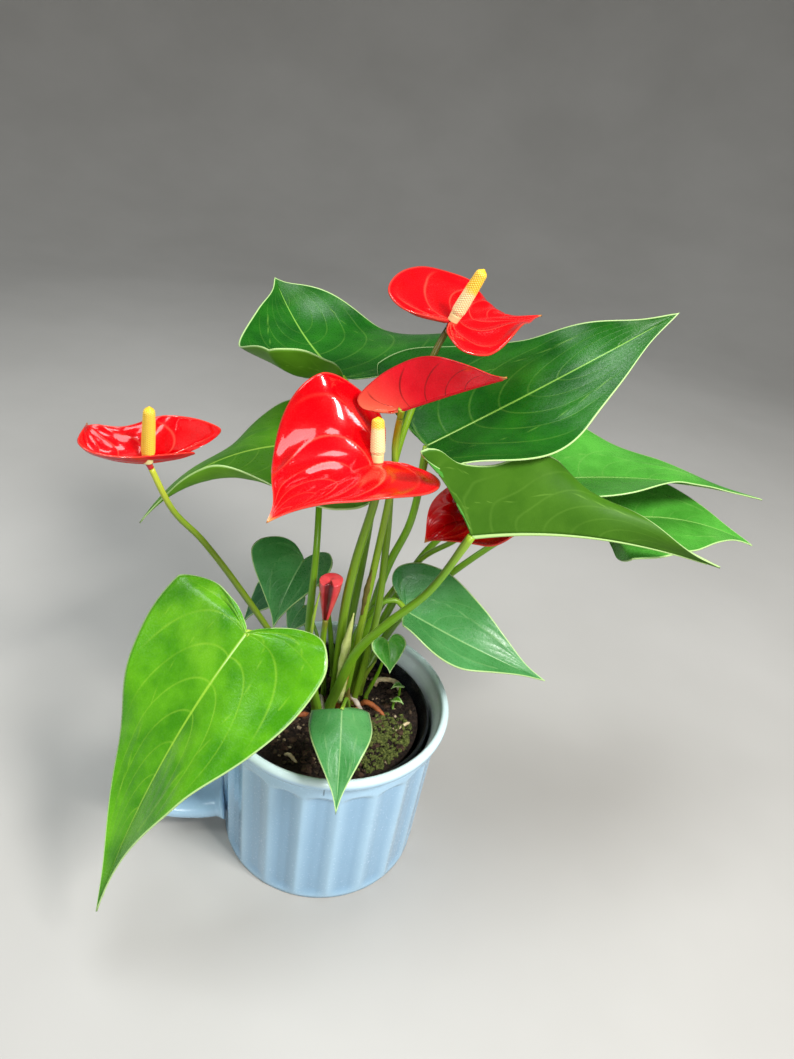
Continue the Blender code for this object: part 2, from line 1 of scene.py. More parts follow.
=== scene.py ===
# %% [markdown]
# # A flamingo flower in a mug pot
#
# The plant stands on one fixed frame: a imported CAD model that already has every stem,
# leaf, flower and pot in its real place and size, in metres, with +Z up. This lesson
# dresses that frame. Each grown piece gets a finer twin that keeps its form and adds
# what the eye looks for: veins, a pale margin, waxy gloss, florets, glaze and soil.

# %% Load the frame
import math
import random

import bmesh
import bpy
from mathutils import Matrix, Vector
from mathutils.kdtree import KDTree


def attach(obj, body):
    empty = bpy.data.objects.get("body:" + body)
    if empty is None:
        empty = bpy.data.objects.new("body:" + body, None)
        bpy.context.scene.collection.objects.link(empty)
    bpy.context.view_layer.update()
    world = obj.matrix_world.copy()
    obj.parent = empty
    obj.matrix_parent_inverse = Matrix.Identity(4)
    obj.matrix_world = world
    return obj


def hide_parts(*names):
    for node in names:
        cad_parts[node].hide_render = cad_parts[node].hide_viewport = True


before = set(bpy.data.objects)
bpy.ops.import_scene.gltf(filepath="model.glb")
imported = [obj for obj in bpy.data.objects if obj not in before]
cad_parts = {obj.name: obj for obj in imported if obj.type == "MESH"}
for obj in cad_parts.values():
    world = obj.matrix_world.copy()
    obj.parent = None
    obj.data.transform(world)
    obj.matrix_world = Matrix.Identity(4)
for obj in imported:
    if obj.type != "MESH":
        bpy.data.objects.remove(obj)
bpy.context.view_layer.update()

MM = 0.001
WELD = 0.01 * MM

# %% [markdown]
# ## Bending a grid
#
# A leaf, a stem, a pot and a spike of florets are all one sheet of faces that was bent
# into place. So every piece starts as a flat grid from `bmesh.ops.create_grid`, and one
# function of two shares, along and around, says where each of its points goes. The same
# two shares are kept as the UV map, so that a pattern such as veins follows the surface.

# %% Grid helpers


def new_object(name, mesh):
    piece = bpy.data.objects.new(name, mesh)
    bpy.context.scene.collection.objects.link(piece)
    return piece


def flat_grid(steps_u, steps_v):
    """A smooth flat grid from -0.5 to 0.5, with its shares from 0 to 1 as its UV map."""
    bm = bmesh.new()
    bmesh.ops.create_grid(bm, x_segments=steps_u, y_segments=steps_v, size=0.5)
    uv_layer = bm.loops.layers.uv.new("UVMap")
    for face in bm.faces:
        face.smooth = True
        for loop in face.loops:
            loop[uv_layer].uv = (loop.vert.co.x + 0.5, loop.vert.co.y + 0.5)
    return bm


def mesh_from(bm, name, materials):
    """Turns a finished bmesh into a mesh with its materials in order."""
    mesh = bpy.data.meshes.new(name)
    bm.to_mesh(mesh)
    bm.free()
    for surface in materials:
        mesh.materials.append(surface)
    return mesh


def bent_grid(name, steps_u, steps_v, place, materials):
    """A mesh whose grid point (u, v) is moved to place(u, v)."""
    bm = flat_grid(steps_u, steps_v)
    for vert in bm.verts:
        vert.co = place(vert.co.x + 0.5, vert.co.y + 0.5)
    bmesh.ops.remove_doubles(bm, verts=bm.verts, dist=WELD)
    return mesh_from(bm, name, materials)


print("grid helpers ready")

# %% [markdown]
# Stems and margins are smooth curves through a few chosen points. A curve is read at
# even steps of its length, so that the faces along it are equally long. A value that
# changes along a piece, such as the thickness of a stalk, is read from a short list,
# and a soft step eases one state into the next.

# %% Curve helpers


def spline(points, count):
    """Points at even steps along a smooth curve through the given points."""
    knots = [Vector(point) for point in points]
    ends = [knots[0] * 2 - knots[1]] + knots + [knots[-1] * 2 - knots[-2]]
    fine = []
    substeps = 16  # on each stretch between two knots
    for k in range(len(knots) - 1):
        a, b, c, d = ends[k:k + 4]
        for step in range(substeps):
            t = step / substeps
            fine.append(0.5 * (2 * b + (c - a) * t + (2 * a - 5 * b + 4 * c - d) * t * t
                               + (3 * b - a - 3 * c + d) * t ** 3))
    fine.append(knots[-1])
    lengths = [0.0]
    for before, after in zip(fine, fine[1:]):
        lengths.append(lengths[-1] + (after - before).length)
    result = []
    k = 0
    for step in range(count + 1):
        target = lengths[-1] * step / count
        while k < len(fine) - 2 and lengths[k + 1] < target:
            k += 1
        share = (target - lengths[k]) / max(lengths[k + 1] - lengths[k], 1e-12)
        result.append(fine[k].lerp(fine[k + 1], min(max(share, 0.0), 1.0)))
    return result


def ramp(values, share):
    """A value read at a share from 0 to 1 along a list of evenly spaced values."""
    place = min(max(share, 0.0), 1.0) * (len(values) - 1)
    low = min(int(place), len(values) - 2)
    return values[low] + (values[low + 1] - values[low]) * (place - low)


def smooth(low, high, x):
    t = min(max((x - low) / (high - low), 0.0), 1.0)
    return t * t * (3 - 2 * t)


print("curve helpers ready")

# %% [markdown]
# A stem, a root and a spadix are tubes. Rings of points follow the curve, and each ring
# is turned as little as it can be from the one before, so the tube doesn't twist. What
# grows together is joined into one mesh, and `show` puts that mesh on the frame.

# %% Tube and piece helpers


def tube(name, route, radius_at, sides, materials, bumps=None):
    """A closed tube along a route of points. radius_at(v) and bumps(u, v) are in metres."""
    last = len(route) - 1
    frames = []
    side = Vector((1, 0, 0))
    for k, centre in enumerate(route):
        ahead = (route[min(k + 1, last)] - route[max(k - 1, 0)]).normalized()
        side = (side - ahead * side.dot(ahead)).normalized()
        frames.append((centre, side.copy(), ahead.cross(side)))

    def place(u, v):
        row = round(v * (last + 2)) - 1
        centre, across, up = frames[min(max(row, 0), last)]
        if row < 0 or row > last:
            return centre
        share = row / last
        radius = radius_at(share) + (bumps(u, share) if bumps else 0.0)
        turn = 2 * math.pi * u
        return centre + radius * (across * math.cos(turn) + up * math.sin(turn))

    return bent_grid(name, sides, last + 2, place, materials)


def joined(name, parts, materials):
    """One mesh from several, each given with the index of its first material."""
    bm = bmesh.new()
    for mesh, first in parts:
        for face in mesh.polygons:
            face.material_index += first
        bm.from_mesh(mesh)
    return mesh_from(bm, name, materials)


def show(name, mesh, slot, *nodes):
    """Puts a finished mesh in the scene, on the frame, in place of the CAD nodes named."""
    piece = new_object(name, mesh)
    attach(piece, "root")
    if nodes:
        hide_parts(*nodes)
    return piece


print("piece helpers ready")

# %% [markdown]
# ## Node helpers
#
# Every finish here is drawn by nodes. A small class keeps the node code short: it adds a
# node, sets its plain values and links the rest. Two effects are used by many finishes,
# so each is a node group that is built once: the pattern of veins on a blade, and a
# soft mottling that keeps a colour from looking flat.

# %% Node helpers


class Nodes:
    """Adds nodes to a tree and links them as they are made."""

    def __init__(self, tree):
        self.tree = tree

    def add(self, kind, inputs=None, **settings):
        node = self.tree.nodes.new(kind)
        for key, value in settings.items():
            setattr(node, key, value)
        for key, value in (inputs or {}).items():
            if isinstance(value, bpy.types.NodeSocket):
                self.tree.links.new(value, node.inputs[key])
            else:
                node.inputs[key].default_value = value
        return node

    def math(self, operation, a, b=0.0):
        return self.add("ShaderNodeMath", {0: a, 1: b}, operation=operation).outputs[0]

    def band(self, value, low, high, to_low=0.0, to_high=1.0):
        """Smoothly turns a value from low to high into to_low to to_high."""
        node = self.add("ShaderNodeMapRange", {"Value": value, "From Min": low, "From Max": high,
                                               "To Min": to_low, "To Max": to_high},
                        interpolation_type="SMOOTHSTEP")
        return node.outputs["Result"]

    def mix(self, share, a, b):
        """A blend of two colours. Mix has sockets of each kind, those for colour are 6 and 7."""
        node = self.add("ShaderNodeMix", data_type="RGBA")
        for key, value in ((0, share), (6, a), (7, b)):
            if isinstance(value, bpy.types.NodeSocket):
                self.tree.links.new(value, node.inputs[key])
            elif key == 0:
                node.inputs[key].default_value = value
            else:
                node.inputs[key].default_value = (*value, 1.0)
        return node.outputs[2]

    def over(self, color, mask, share, tint):
        """A share of a tint laid over a colour, where the mask is 1."""
        return self.mix(self.math("MULTIPLY", mask, share), color, tint)

    def noise(self, vector, scale, detail):
        node = self.add("ShaderNodeTexNoise", {"Vector": vector, "Scale": scale, "Detail": detail,
                                               "Roughness": 0.55})
        return node.outputs["Fac"]

    def place(self, kind="Object"):
        return self.add("ShaderNodeTexCoord").outputs[kind]

    def split(self, vector):
        return self.add("ShaderNodeSeparateXYZ", {"Vector": vector}).outputs

    def measure(self, name):
        """A number that the mesh carries at each point."""
        return self.add("ShaderNodeAttribute", attribute_name=name).outputs["Fac"]


def node_group(name, inputs, outputs):
    """An empty shader node group with named sockets, and its two end nodes."""
    group = bpy.data.node_groups.new(name, "ShaderNodeTree")
    for socket, kind, value in inputs:
        made = group.interface.new_socket(name=socket, in_out="INPUT", socket_type=kind)
        if value is not None:
            made.default_value = value
    for socket, kind in outputs:
        group.interface.new_socket(name=socket, in_out="OUTPUT", socket_type=kind)
    return group, group.nodes.new("NodeGroupInput"), group.nodes.new("NodeGroupOutput")


print("node helpers ready")

# %% [markdown]
# A finish is one material on Blender's Principled shader. Its plain numbers are set on
# the shader's sockets, and the rest is linked to them: a colour that is drawn by nodes,
# a gloss that a fine grain breaks, and a bump for what is too fine to be shaped.

# %% Material helpers


def finish(name, roughness, coat=0.0, coat_roughness=0.1, specular=0.5):
    """A new material, with its plain numbers set on the shader's own sockets."""
    surface = bpy.data.materials.new(name)
    surface.use_nodes = True
    shader = surface.node_tree.nodes["Principled BSDF"]
    shader.inputs["Roughness"].default_value = roughness
    shader.inputs["Coat Weight"].default_value = coat
    shader.inputs["Coat Roughness"].default_value = coat_roughness
    shader.inputs["Specular IOR Level"].default_value = specular
    return surface, Nodes(surface.node_tree), shader


def paint(n, shader, color):
    n.tree.links.new(color, shader.inputs["Base Color"])


def uneven_gloss(n, shader, grain, low, high):
    """Lets a fine grain break the gloss of a surface."""
    n.tree.links.new(n.band(grain, 0.3, 0.7, low, high), shader.inputs["Roughness"])


def bump(n, shader, height, distance, strength):
    node = n.add("ShaderNodeBump", {"Height": height, "Distance": distance, "Strength": strength})
    n.tree.links.new(node.outputs["Normal"], shader.inputs["Normal"])


print("material helpers ready")

# %% [markdown]
# A flamingo flower's blade has a midrib, and veins that leave the petiole's joint and
# the midrib and bend towards the tip. On the bent grid the rows already run from the
# midrib to the margin, so a vein is a line of nearly even row number. The group bends
# the rows a little, folds the row number into repeats, and gives a thin line for each.
# Three measures that the mesh carries in millimetres, to the margin, the midrib and the
# nearest basal vein, keep those lines as thin on a large leaf as on a small one.

# %% Vein group
# How far a vein bends towards the tip on its way out, on leaves and on spathes
LEAF_ARCH = 0.9
SPATHE_ARCH = 1.3
CORAL_ARCH = 0.35
ARCH_POWER = 1.6
# Where each pale line is full and where it has faded, in mm from its middle or the margin
RIB_LINE = (0.4, 1.1)
BASAL_LINE = (0.25, 0.8)
MARGIN_LINE = (0.55, 1.1)


def build_vein_group():
    group, enter, leave = node_group(
        "Blade veins",
        [("UV", "NodeSocketVector", None), ("Count", "NodeSocketFloat", 12.0),
         ("Line", "NodeSocketFloat", 0.06), ("Arch", "NodeSocketFloat", 1.0)],
        [("Vein", "NodeSocketFloat"), ("Rib", "NodeSocketFloat"), ("Margin", "NodeSocketFloat"),
         ("Basal", "NodeSocketFloat"), ("Along", "NodeSocketFloat")])
    n = Nodes(group)
    along, across, _ = n.split(enter.outputs["UV"])
    out = n.math("ABSOLUTE", n.math("SUBTRACT", n.math("MULTIPLY", across, 2.0), 1.0))
    spread = n.math("MULTIPLY", n.math("POWER", out, ARCH_POWER), enter.outputs["Arch"])
    start = n.math("DIVIDE", along, n.math("ADD", spread, 1.0))
    phase = n.math("FRACT", n.math("ADD", n.math("MULTIPLY", start, enter.outputs["Count"]), 0.5))
    apart = n.math("ABSOLUTE", n.math("SUBTRACT", phase, 0.5))
    line = n.band(apart, 0.0, enter.outputs["Line"], 1.0, 0.0)
    faint = n.band(n.noise(n.place(), 55.0, 2.0), 0.3, 0.6, 0.4, 1.0)
    inside = n.math("MULTIPLY", n.band(out, 0.97, 0.7), faint)
    taper = n.band(along, 0.25, 1.0, 1.2, 0.35)
    rib = n.band(n.math("DIVIDE", n.measure("rib_mm"), taper), *RIB_LINE, 1.0, 0.0)
    basal = n.band(n.measure("basal_mm"), *BASAL_LINE, 1.0, 0.0)
    margin = n.band(n.measure("edge_mm"), *MARGIN_LINE, 1.0, 0.0)
    for name, value in (("Vein", n.math("MULTIPLY", line, inside)), ("Rib", rib), ("Margin", margin),
                        ("Basal", basal), ("Along", along)):
        group.links.new(value, leave.inputs[name])
    return group


VEINS = build_vein_group()


def placed(n, group, inputs):
    """A copy of a node group in a material. Its sockets exist once its tree is set."""
    node = n.add("ShaderNodeGroup", node_tree=group)
    for key, value in inputs.items():
        node.inputs[key].default_value = value
    return node


def veins(n, count, line, arch=LEAF_ARCH):
    node = placed(n, VEINS, {"Count": count, "Line": line, "Arch": arch})
    n.tree.links.new(n.place("UV"), node.inputs["UV"])
    return node.outputs


print("vein group nodes:", len(VEINS.nodes))

# %% [markdown]
# Hardly any surface has one even tone. The mottle group gives a wide soft mask, which
# mixes a dark tone with a bright one, and a fine grain, which breaks the gloss and
# raises small bumps.

# %% Mottle group


def build_mottle_group():
    group, enter, leave = node_group(
        "Soft mottle",
        [("Scale", "NodeSocketFloat", 60.0), ("Low", "NodeSocketFloat", 0.35),
         ("High", "NodeSocketFloat", 0.65)],
        [("Mask", "NodeSocketFloat"), ("Grain", "NodeSocketFloat")])
    n = Nodes(group)
    wide = n.noise(n.place(), enter.outputs["Scale"], 4.0)
    grain = n.noise(n.place(), n.math("MULTIPLY", enter.outputs["Scale"], 18.0), 2.0)
    mask = n.add("ShaderNodeMapRange", {"Value": wide, "From Min": enter.outputs["Low"],
                                        "From Max": enter.outputs["High"]})
    group.links.new(mask.outputs["Result"], leave.inputs["Mask"])
    group.links.new(grain, leave.inputs["Grain"])
    return group


MOTTLE = build_mottle_group()


def mottle(n, scale, low=0.35, high=0.65):
    return placed(n, MOTTLE, {"Scale": scale, "Low": low, "High": high}).outputs


print("mottle group nodes:", len(MOTTLE.nodes))

# %% [markdown]
# ## Leaf finishes
#
# A young leaf is lime green and an old one deep green, and both are paler and duller
# below. The gloss of the wax is broken by a fine pebbling of cells, so the sheen on a
# leaf looks like frosted satin and not like glass. Each leaf finish is the same small
# recipe with its own greens.

# %% Leaf finishes
LEAF_VEINS = 13
MARGIN_GREEN = (0.52, 0.72, 0.30)


def blade_color(n, soft, pattern, deep, bright, vein, shares):
    """Mottled green with its veins, shares says how strong vein, basal, rib and margin are."""
    color = n.mix(soft["Mask"], deep, bright)
    for line, share in zip(("Vein", "Basal", "Rib"), shares):
        color = n.over(color, pattern[line], share, vein)
    return n.over(color, pattern["Margin"], shares[3], MARGIN_GREEN)


def leaf_top(name, deep, bright, vein, roughness, blotch, vein_share=0.16, shine=0.42):
    surface, n, shader = finish(name, roughness, specular=shine)
    pattern = veins(n, LEAF_VEINS, 0.06)
    soft = mottle(n, 45.0)
    patches = mottle(n, 22.0, 0.55, 0.72)
    blotched = [n.over(green, patches["Mask"], blotch, vein) for green in (deep, bright)]
    paint(n, shader, blade_color(n, soft, pattern, *blotched, vein, (vein_share, 0.22, 0.75, 0.8)))
    uneven_gloss(n, shader, soft["Grain"], roughness - 0.06, roughness + 0.1)
    pebbles = n.math("MULTIPLY", soft["Grain"], 0.5)
    height = n.math("SUBTRACT", pebbles, n.math("MULTIPLY", pattern["Vein"], 0.2))
    bump(n, shader, height, 0.4 * MM, 0.5)
    return surface


def leaf_under(name, deep, bright, vein):
    surface, n, shader = finish(name, 0.5, specular=0.15)
    pattern = veins(n, LEAF_VEINS, 0.09)
    soft = mottle(n, 50.0)
    paint(n, shader, blade_color(n, soft, pattern, deep, bright, vein, (0.22, 0.5, 0.8, 0.6)))
    bump(n, shader, soft["Grain"], 0.2 * MM, 0.4)
    return surface


# Dark and bright green, the veins' green, roughness, and how blotched the blade is
LEAF_TOPS = {
    "lime": leaf_top("leaf_lime", (0.045, 0.23, 0.003), (0.11, 0.38, 0.008), (0.36, 0.64, 0.05), 0.24, 0.14,
                     vein_share=0.3),
    "deep": leaf_top("leaf_deep", (0.006, 0.075, 0.004), (0.014, 0.125, 0.006), (0.24, 0.48, 0.07), 0.30,
                     0.05, shine=0.28),
    "olive": leaf_top("leaf_olive", (0.04, 0.16, 0.004), (0.07, 0.22, 0.006), (0.30, 0.50, 0.06), 0.33, 0.1),
    "mid": leaf_top("leaf_mid", (0.045, 0.24, 0.02), (0.075, 0.34, 0.035), (0.26, 0.52, 0.12), 0.28, 0.12),
    "teal": leaf_top("leaf_teal", (0.045, 0.22, 0.05), (0.08, 0.31, 0.09), (0.28, 0.52, 0.20), 0.30, 0.15),
    "dark": leaf_top("leaf_dark", (0.015, 0.11, 0.03), (0.035, 0.18, 0.05), (0.12, 0.30, 0.12), 0.32, 0.1),
}
LEAF_UNDERS = {
    "lime": leaf_under("leaf_lime_under", (0.12, 0.34, 0.03), (0.18, 0.42, 0.05), (0.40, 0.62, 0.16)),
    "deep": leaf_under("leaf_deep_under", (0.075, 0.21, 0.008), (0.11, 0.28, 0.014), (0.26, 0.46, 0.06)),
    "olive": leaf_under("leaf_olive_under", (0.10, 0.28, 0.008), (0.14, 0.36, 0.012), (0.32, 0.54, 0.07)),
    "mid": leaf_under("leaf_mid_under", (0.035, 0.12, 0.004), (0.05, 0.15, 0.007), (0.12, 0.26, 0.03)),
    "teal": leaf_under("leaf_teal_under", (0.05, 0.16, 0.04), (0.08, 0.22, 0.06), (0.25, 0.42, 0.15)),
    "dark": leaf_under("leaf_dark_under", (0.03, 0.10, 0.03), (0.05, 0.15, 0.04), (0.15, 0.30, 0.10)),
}
print("leaf finishes:", sorted(LEAF_TOPS))

# %% [markdown]
# A petiole is a smooth round stalk: fresh green for most of its length, olive where it
# swells below the blade, and paler at its sheath near the soil. Its UV map runs along
# it, so the colour can change from foot to joint, with faint long streaks on the way.

# %% Stalk finishes


def stalk(name, low, middle, high):
    """Greens at the foot, for most of the length and at the joint, with darker streaks."""
    surface, n, shader = finish(name, 0.32)
    uv = n.place("UV")
    along = n.split(uv)["Y"]
    color = n.mix(n.band(along, 0.12, 0.35), low, middle)
    color = n.mix(n.band(along, 0.8, 0.98), color, high)
    stretch = n.add("ShaderNodeMapping", {"Vector": uv, "Scale": (14.0, 1.2, 1.0)})
    streak = n.noise(stretch.outputs["Vector"], 1.6, 3.0)
    darker = n.add("ShaderNodeHueSaturation", {"Color": color, "Value": 0.62}).outputs["Color"]
    paint(n, shader, n.mix(n.band(streak, 0.42, 0.7, 0.0, 0.7), color, darker))
    bump(n, shader, mottle(n, 60.0)["Grain"], 0.15 * MM, 0.35)
    return surface


STALKS = {
    "leaf": stalk("petiole_green", (0.14, 0.28, 0.02), (0.17, 0.38, 0.012), (0.30, 0.48, 0.03)),
    "lime": stalk("petiole_lime", (0.16, 0.34, 0.02), (0.22, 0.46, 0.012), (0.38, 0.56, 0.05)),
    "flower": stalk("scape_green", (0.15, 0.28, 0.015), (0.17, 0.32, 0.010), (0.20, 0.18, 0.02)),
    "left": stalk("scape_left", (0.13, 0.26, 0.015), (0.17, 0.27, 0.012), (0.55, 0.60, 0.04)),
    "coral": stalk("scape_yellow_green", (0.14, 0.30, 0.015), (0.24, 0.40, 0.012), (0.38, 0.42, 0.015)),
    "bract": stalk("bract_green", (0.24, 0.38, 0.03), (0.30, 0.45, 0.04), (0.42, 0.52, 0.10)),
}
print("stalk finishes:", sorted(STALKS))

# %% [markdown]
# ## Leaves
#
# A leaf is described by a few numbers: where the petiole joins it, where its drip tip
# is, how wide it is, and how far its halves fold, curl, arch and roll. Those numbers
# are the frame's own. The twin uses them on a finer grid, then adds what a coarse solid
# can't hold: a wavy margin, and relief where the veins pull the blade in. A Solidify
# modifier gives the blade its two faces and a different finish below.

# %% Leaf outlines
# Half an outline, from the joint round to the tip, as (share along, share of half the width)
LEAF_OUTLINE = (
    (0, 0), (-0.07, 0.10), (-0.18, 0.35), (-0.19, 0.66), (-0.07, 0.93), (0.10, 1.0),
    (0.26, 0.88), (0.46, 0.63), (0.66, 0.35), (0.84, 0.12), (1, 0),
)
HEART_OUTLINE = (
    (0, 0), (-0.12, 0.07), (-0.30, 0.30), (-0.32, 0.65), (-0.12, 0.94), (0.15, 1.0),
    (0.43, 0.82), (0.70, 0.42), (0.88, 0.12), (1, 0),
)
LOBED_OUTLINE = (
    (0, 0), (-0.02, 0.12), (-0.06, 0.42), (-0.15, 0.78), (-0.28, 1.12), (-0.22, 1.12), (-0.12, 0.90),
    (0.02, 0.82), (0.18, 0.92), (0.32, 0.90), (0.46, 0.66), (0.64, 0.40), (0.84, 0.14), (1, 0),
)
print("points in the outlines:", len(LEAF_OUTLINE), len(HEART_OUTLINE), len(LOBED_OUTLINE))

# %% [markdown]
# The leaves have the names that they have on the frame. All lengths are in millimetres
# and all angles in degrees. Fold and curl hold the left half's values and then the right
# one's, at the blade's base, middle and tip. Lobes and widths are shares of the plain
# outline's, left and right.

# %% Leaf measures
LEAVES = {
    "leaf_front_left": dict(
        joint=(-45, -50, 188), tip=(-102, -118, 44), width=104, roll=8, arch=6, sway=-3,
        fold=((-20, 8, 22), (8, 10, 10)), curl=((-18, -3, 25), (3, 8, 24)),
        lobes=(0.5, 0.27), widths=(0.95, 1.2),
        foot=(-10, -2), via=((-22, -20, 160),), radius=2.4, green="lime", wave=2.2),
    "leaf_back_left": dict(
        joint=(-27, 109, 271), tip=(-94, 209, 301), width=135, roll=-4, arch=-8, sway=1,
        fold=((2, -5, 12), (13, 2, 39)), curl=((73, 35, 10), (0, -12, 20)),
        lobes=(0.22, 0.7), widths=(0.90, 1.3), outline=HEART_OUTLINE,
        foot=(0, 41), via=((4, 72, 205), (-4, 92, 250), (-20, 98, 268)), radius=2.3, green="deep", wave=1.5),
    "leaf_mid_left": dict(
        joint=(-30, 60, 246), tip=(-130, 32, 190), width=88, roll=-6, arch=16, sway=-3,
        fold=((-10, -8, 0), (4, -16, -11)), curl=((15, 115, 60), (5, -11, -6)),
        lobes=(0.8, 1.1), widths=(1.42, 1.12),
        foot=(-15, 16), via=((-21, 13, 143), (-22, 18, 205)), radius=2.2, green="olive", wave=1.8),
    "leaf_upper_right": dict(
        joint=(31, 42, 264), tip=(157, 87, 347), width=128, roll=33, arch=2, sway=-2,
        fold=((-13, -20, 30), (44, 16, -8)), curl=((-5, -6, 30), (25, 8, -10)),
        lobes=(0.2, 0.1),
        widths=(1.22, 1.06),  # the near half is 2 % wider than the frame's, to meet its neighbour
        foot=(8, 18), via=((18, 25, 182), (29, 33, 221)), radius=2.6, green="deep", wave=1.0),
    "leaf_arched_right": dict(
        joint=(59, -21, 248), tip=(195, 5, 238), width=111, roll=-34, arch=8, sway=7,
        fold=((60, 60, 105), (65, 66, 14)), curl=((0, 5, 25), (2, 99, -18)),
        lobes=(0.1, 0.96), widths=(0.58, 0.79), outline=LOBED_OUTLINE,
        foot=(-2, 1), via=((9, -5, 147), (24, -11, 177), (44, -16, 208)), radius=2.5, green="mid", wave=1.2),
    "leaf_right": dict(
        joint=(115, 69, 245), tip=(253, 107, 235), width=98, arch=6,
        fold=((17, 5, -11), (15, 22, 10)), curl=((13, 0, -17), (5, 12, 0)),
        foot=(10, 38), via=((42, 70, 177), (83, 75, 221)), radius=2.3, green="mid", wave=1.2),
    "leaf_lower_right": dict(
        joint=(145, 60, 227), tip=(240, 70, 220), width=94, roll=6, arch=8, sway=2,
        fold=((8,), (9, 3, 3)), curl=((0,), (8, 4, 3)), lobes=(1.0, 0.1), widths=(1.1, 1.1),
        foot=(14, 29), via=((33, 50, 138), (71, 59, 185), (106, 60, 217)), radius=2.2, green="mid", wave=1.2),
    "leaf_low_right": dict(
        joint=(36, 20, 165), tip=(123, 4, 143), width=68, roll=18, arch=5, sway=-5,
        fold=((9, 22, 20), (35, 9, 11)), curl=((-6, 5, 5), (16, 4, 7)),
        lobes=(1.0, 0.1), widths=(1.08, 0.9),
        foot=(0, 17), via=((6, 15, 142), (16, 16, 167), (27, 19, 173)), radius=1.9, green="teal", wave=0.8),
    "leaf_front": dict(
        joint=(8, -50, 147), tip=(14, -92, 116), width=38, arch=5,
        fold=((-22, 7, 4), (-22, 1, 4)), curl=((-30, 3, 0), (-30, -4, 0)), lobes=(0.25, 0.1),
        foot=(11, -6), via=((9, -28, 134),), radius=1.2, green="teal", wave=0.3),
    "leaf_small_left": dict(
        joint=(-33, 50, 170), tip=(-44, 20, 137), width=58, roll=-5, arch=5,
        fold=((35,), (5,)), widths=(1.0, 1.15),
        foot=(-5, 33), via=((-16, 46, 145),), radius=1.5, green="teal", wave=0.6),
    "leaf_dark_left": dict(
        joint=(-52, 70, 132), tip=(-72, 60, 104), width=34, arch=3,
        fold=((5,), (5,)),
        foot=(-14, 34), via=((-32, 56, 122),), radius=1.3, green="dark", wave=0.3),
    "leaf_teal_left": dict(
        joint=(-30, 48, 136), tip=(-37, 42, 113), width=26, arch=3,
        fold=((5,), (5,)),
        foot=(-10, 25), via=((-19, 38, 124),), radius=1.2, green="teal", wave=0.2),
    "leaf_stunted": dict(
        joint=(27, 8, 150), tip=(31, 0, 133), width=22, arch=2,
        fold=((5,), (5,)),
        foot=(19, 14), via=((25, 9, 128),), radius=1.1, green="mid", wave=0.2),
    "seedling_front": dict(
        joint=(37, 11, 103), tip=(43, 7, 104), width=6, arch=1,
        foot=(37, 12), via=((37, 11, 101),), radius=0.6, green="lime", wave=0.0),
    "seedling_back": dict(
        joint=(40, 24, 104), tip=(34, 18, 105), width=6, arch=1,
        foot=(40, 24), via=((40, 24, 102),), radius=0.6, green="lime", wave=0.0),
}
print("leaves:", len(LEAVES))

# %% [markdown]
# The blade's surface is one function. It reads how far along the midrib and how far out
# a point lies, turns the fold and curl angles into a rolled cross section, and adds the
# arch. On a leaf the veins are shallow valleys between low quilted swellings. On a spathe
# the quilting is negative, so that the veins stand proud. The mesh also carries how many
# millimetres each point is from the margin, the midrib and the basal veins.

# %% Blade surface


def blend(values, x):
    """Base, middle and tip values eased along the midrib."""
    if len(values) == 1:
        return values[0]
    x = min(max(x, 0.0), 1.0)
    half = min(int(x * 2), 1)
    t = smooth(0.0, 1.0, x * 2 - half)
    return values[half] + (values[half + 1] - values[half]) * t


MIDRIB_START = 0.30  # rows before this share fan out from the joint, the rest leave the midrib
MIDRIB_EASE = 1.15
CURL_STEPS = 10  # in which a row bends on its way to the margin
# Ripples of a margin: how many, where they start, how far the halves differ, how high
RIPPLES = ((2.6, 0.0, 0.17, 1.0), (5.3, 0.4, 0.31, 0.25))
GROOVE_DEPTH = 0.35  # mm, along the midrib
GROOVE_SHARPNESS = 14
# Basal veins of one half, as (share along, share out) from the joint towards the tip
BASAL_VEINS = (
    ((0.24, 0.0), (0.30, 0.22), (0.40, 0.36), (0.53, 0.47), (0.68, 0.56), (0.80, 0.66)),
    ((0.14, 0.0), (0.16, 0.30), (0.22, 0.55), (0.33, 0.72), (0.47, 0.82)),
)
BASAL_STEPS = 90
BASAL_RIDGE = 0.25  # mm, how far these veins stand proud of a leaf
BASAL_RIDGE_WIDTH = 1.1  # mm
MEASURES = ("edge_mm", "rib_mm", "basal_mm")
RIB_WIDTH = 75  # a blade narrower than this in mm has a thinner line on its midrib
RIB_SINK = 0.45  # of its radius, by which the midrib's middle is below the blade's
RIB_TAPER = 0.75  # share of its thickness that the midrib loses on its way to the tip
RIB_SIDES = 8


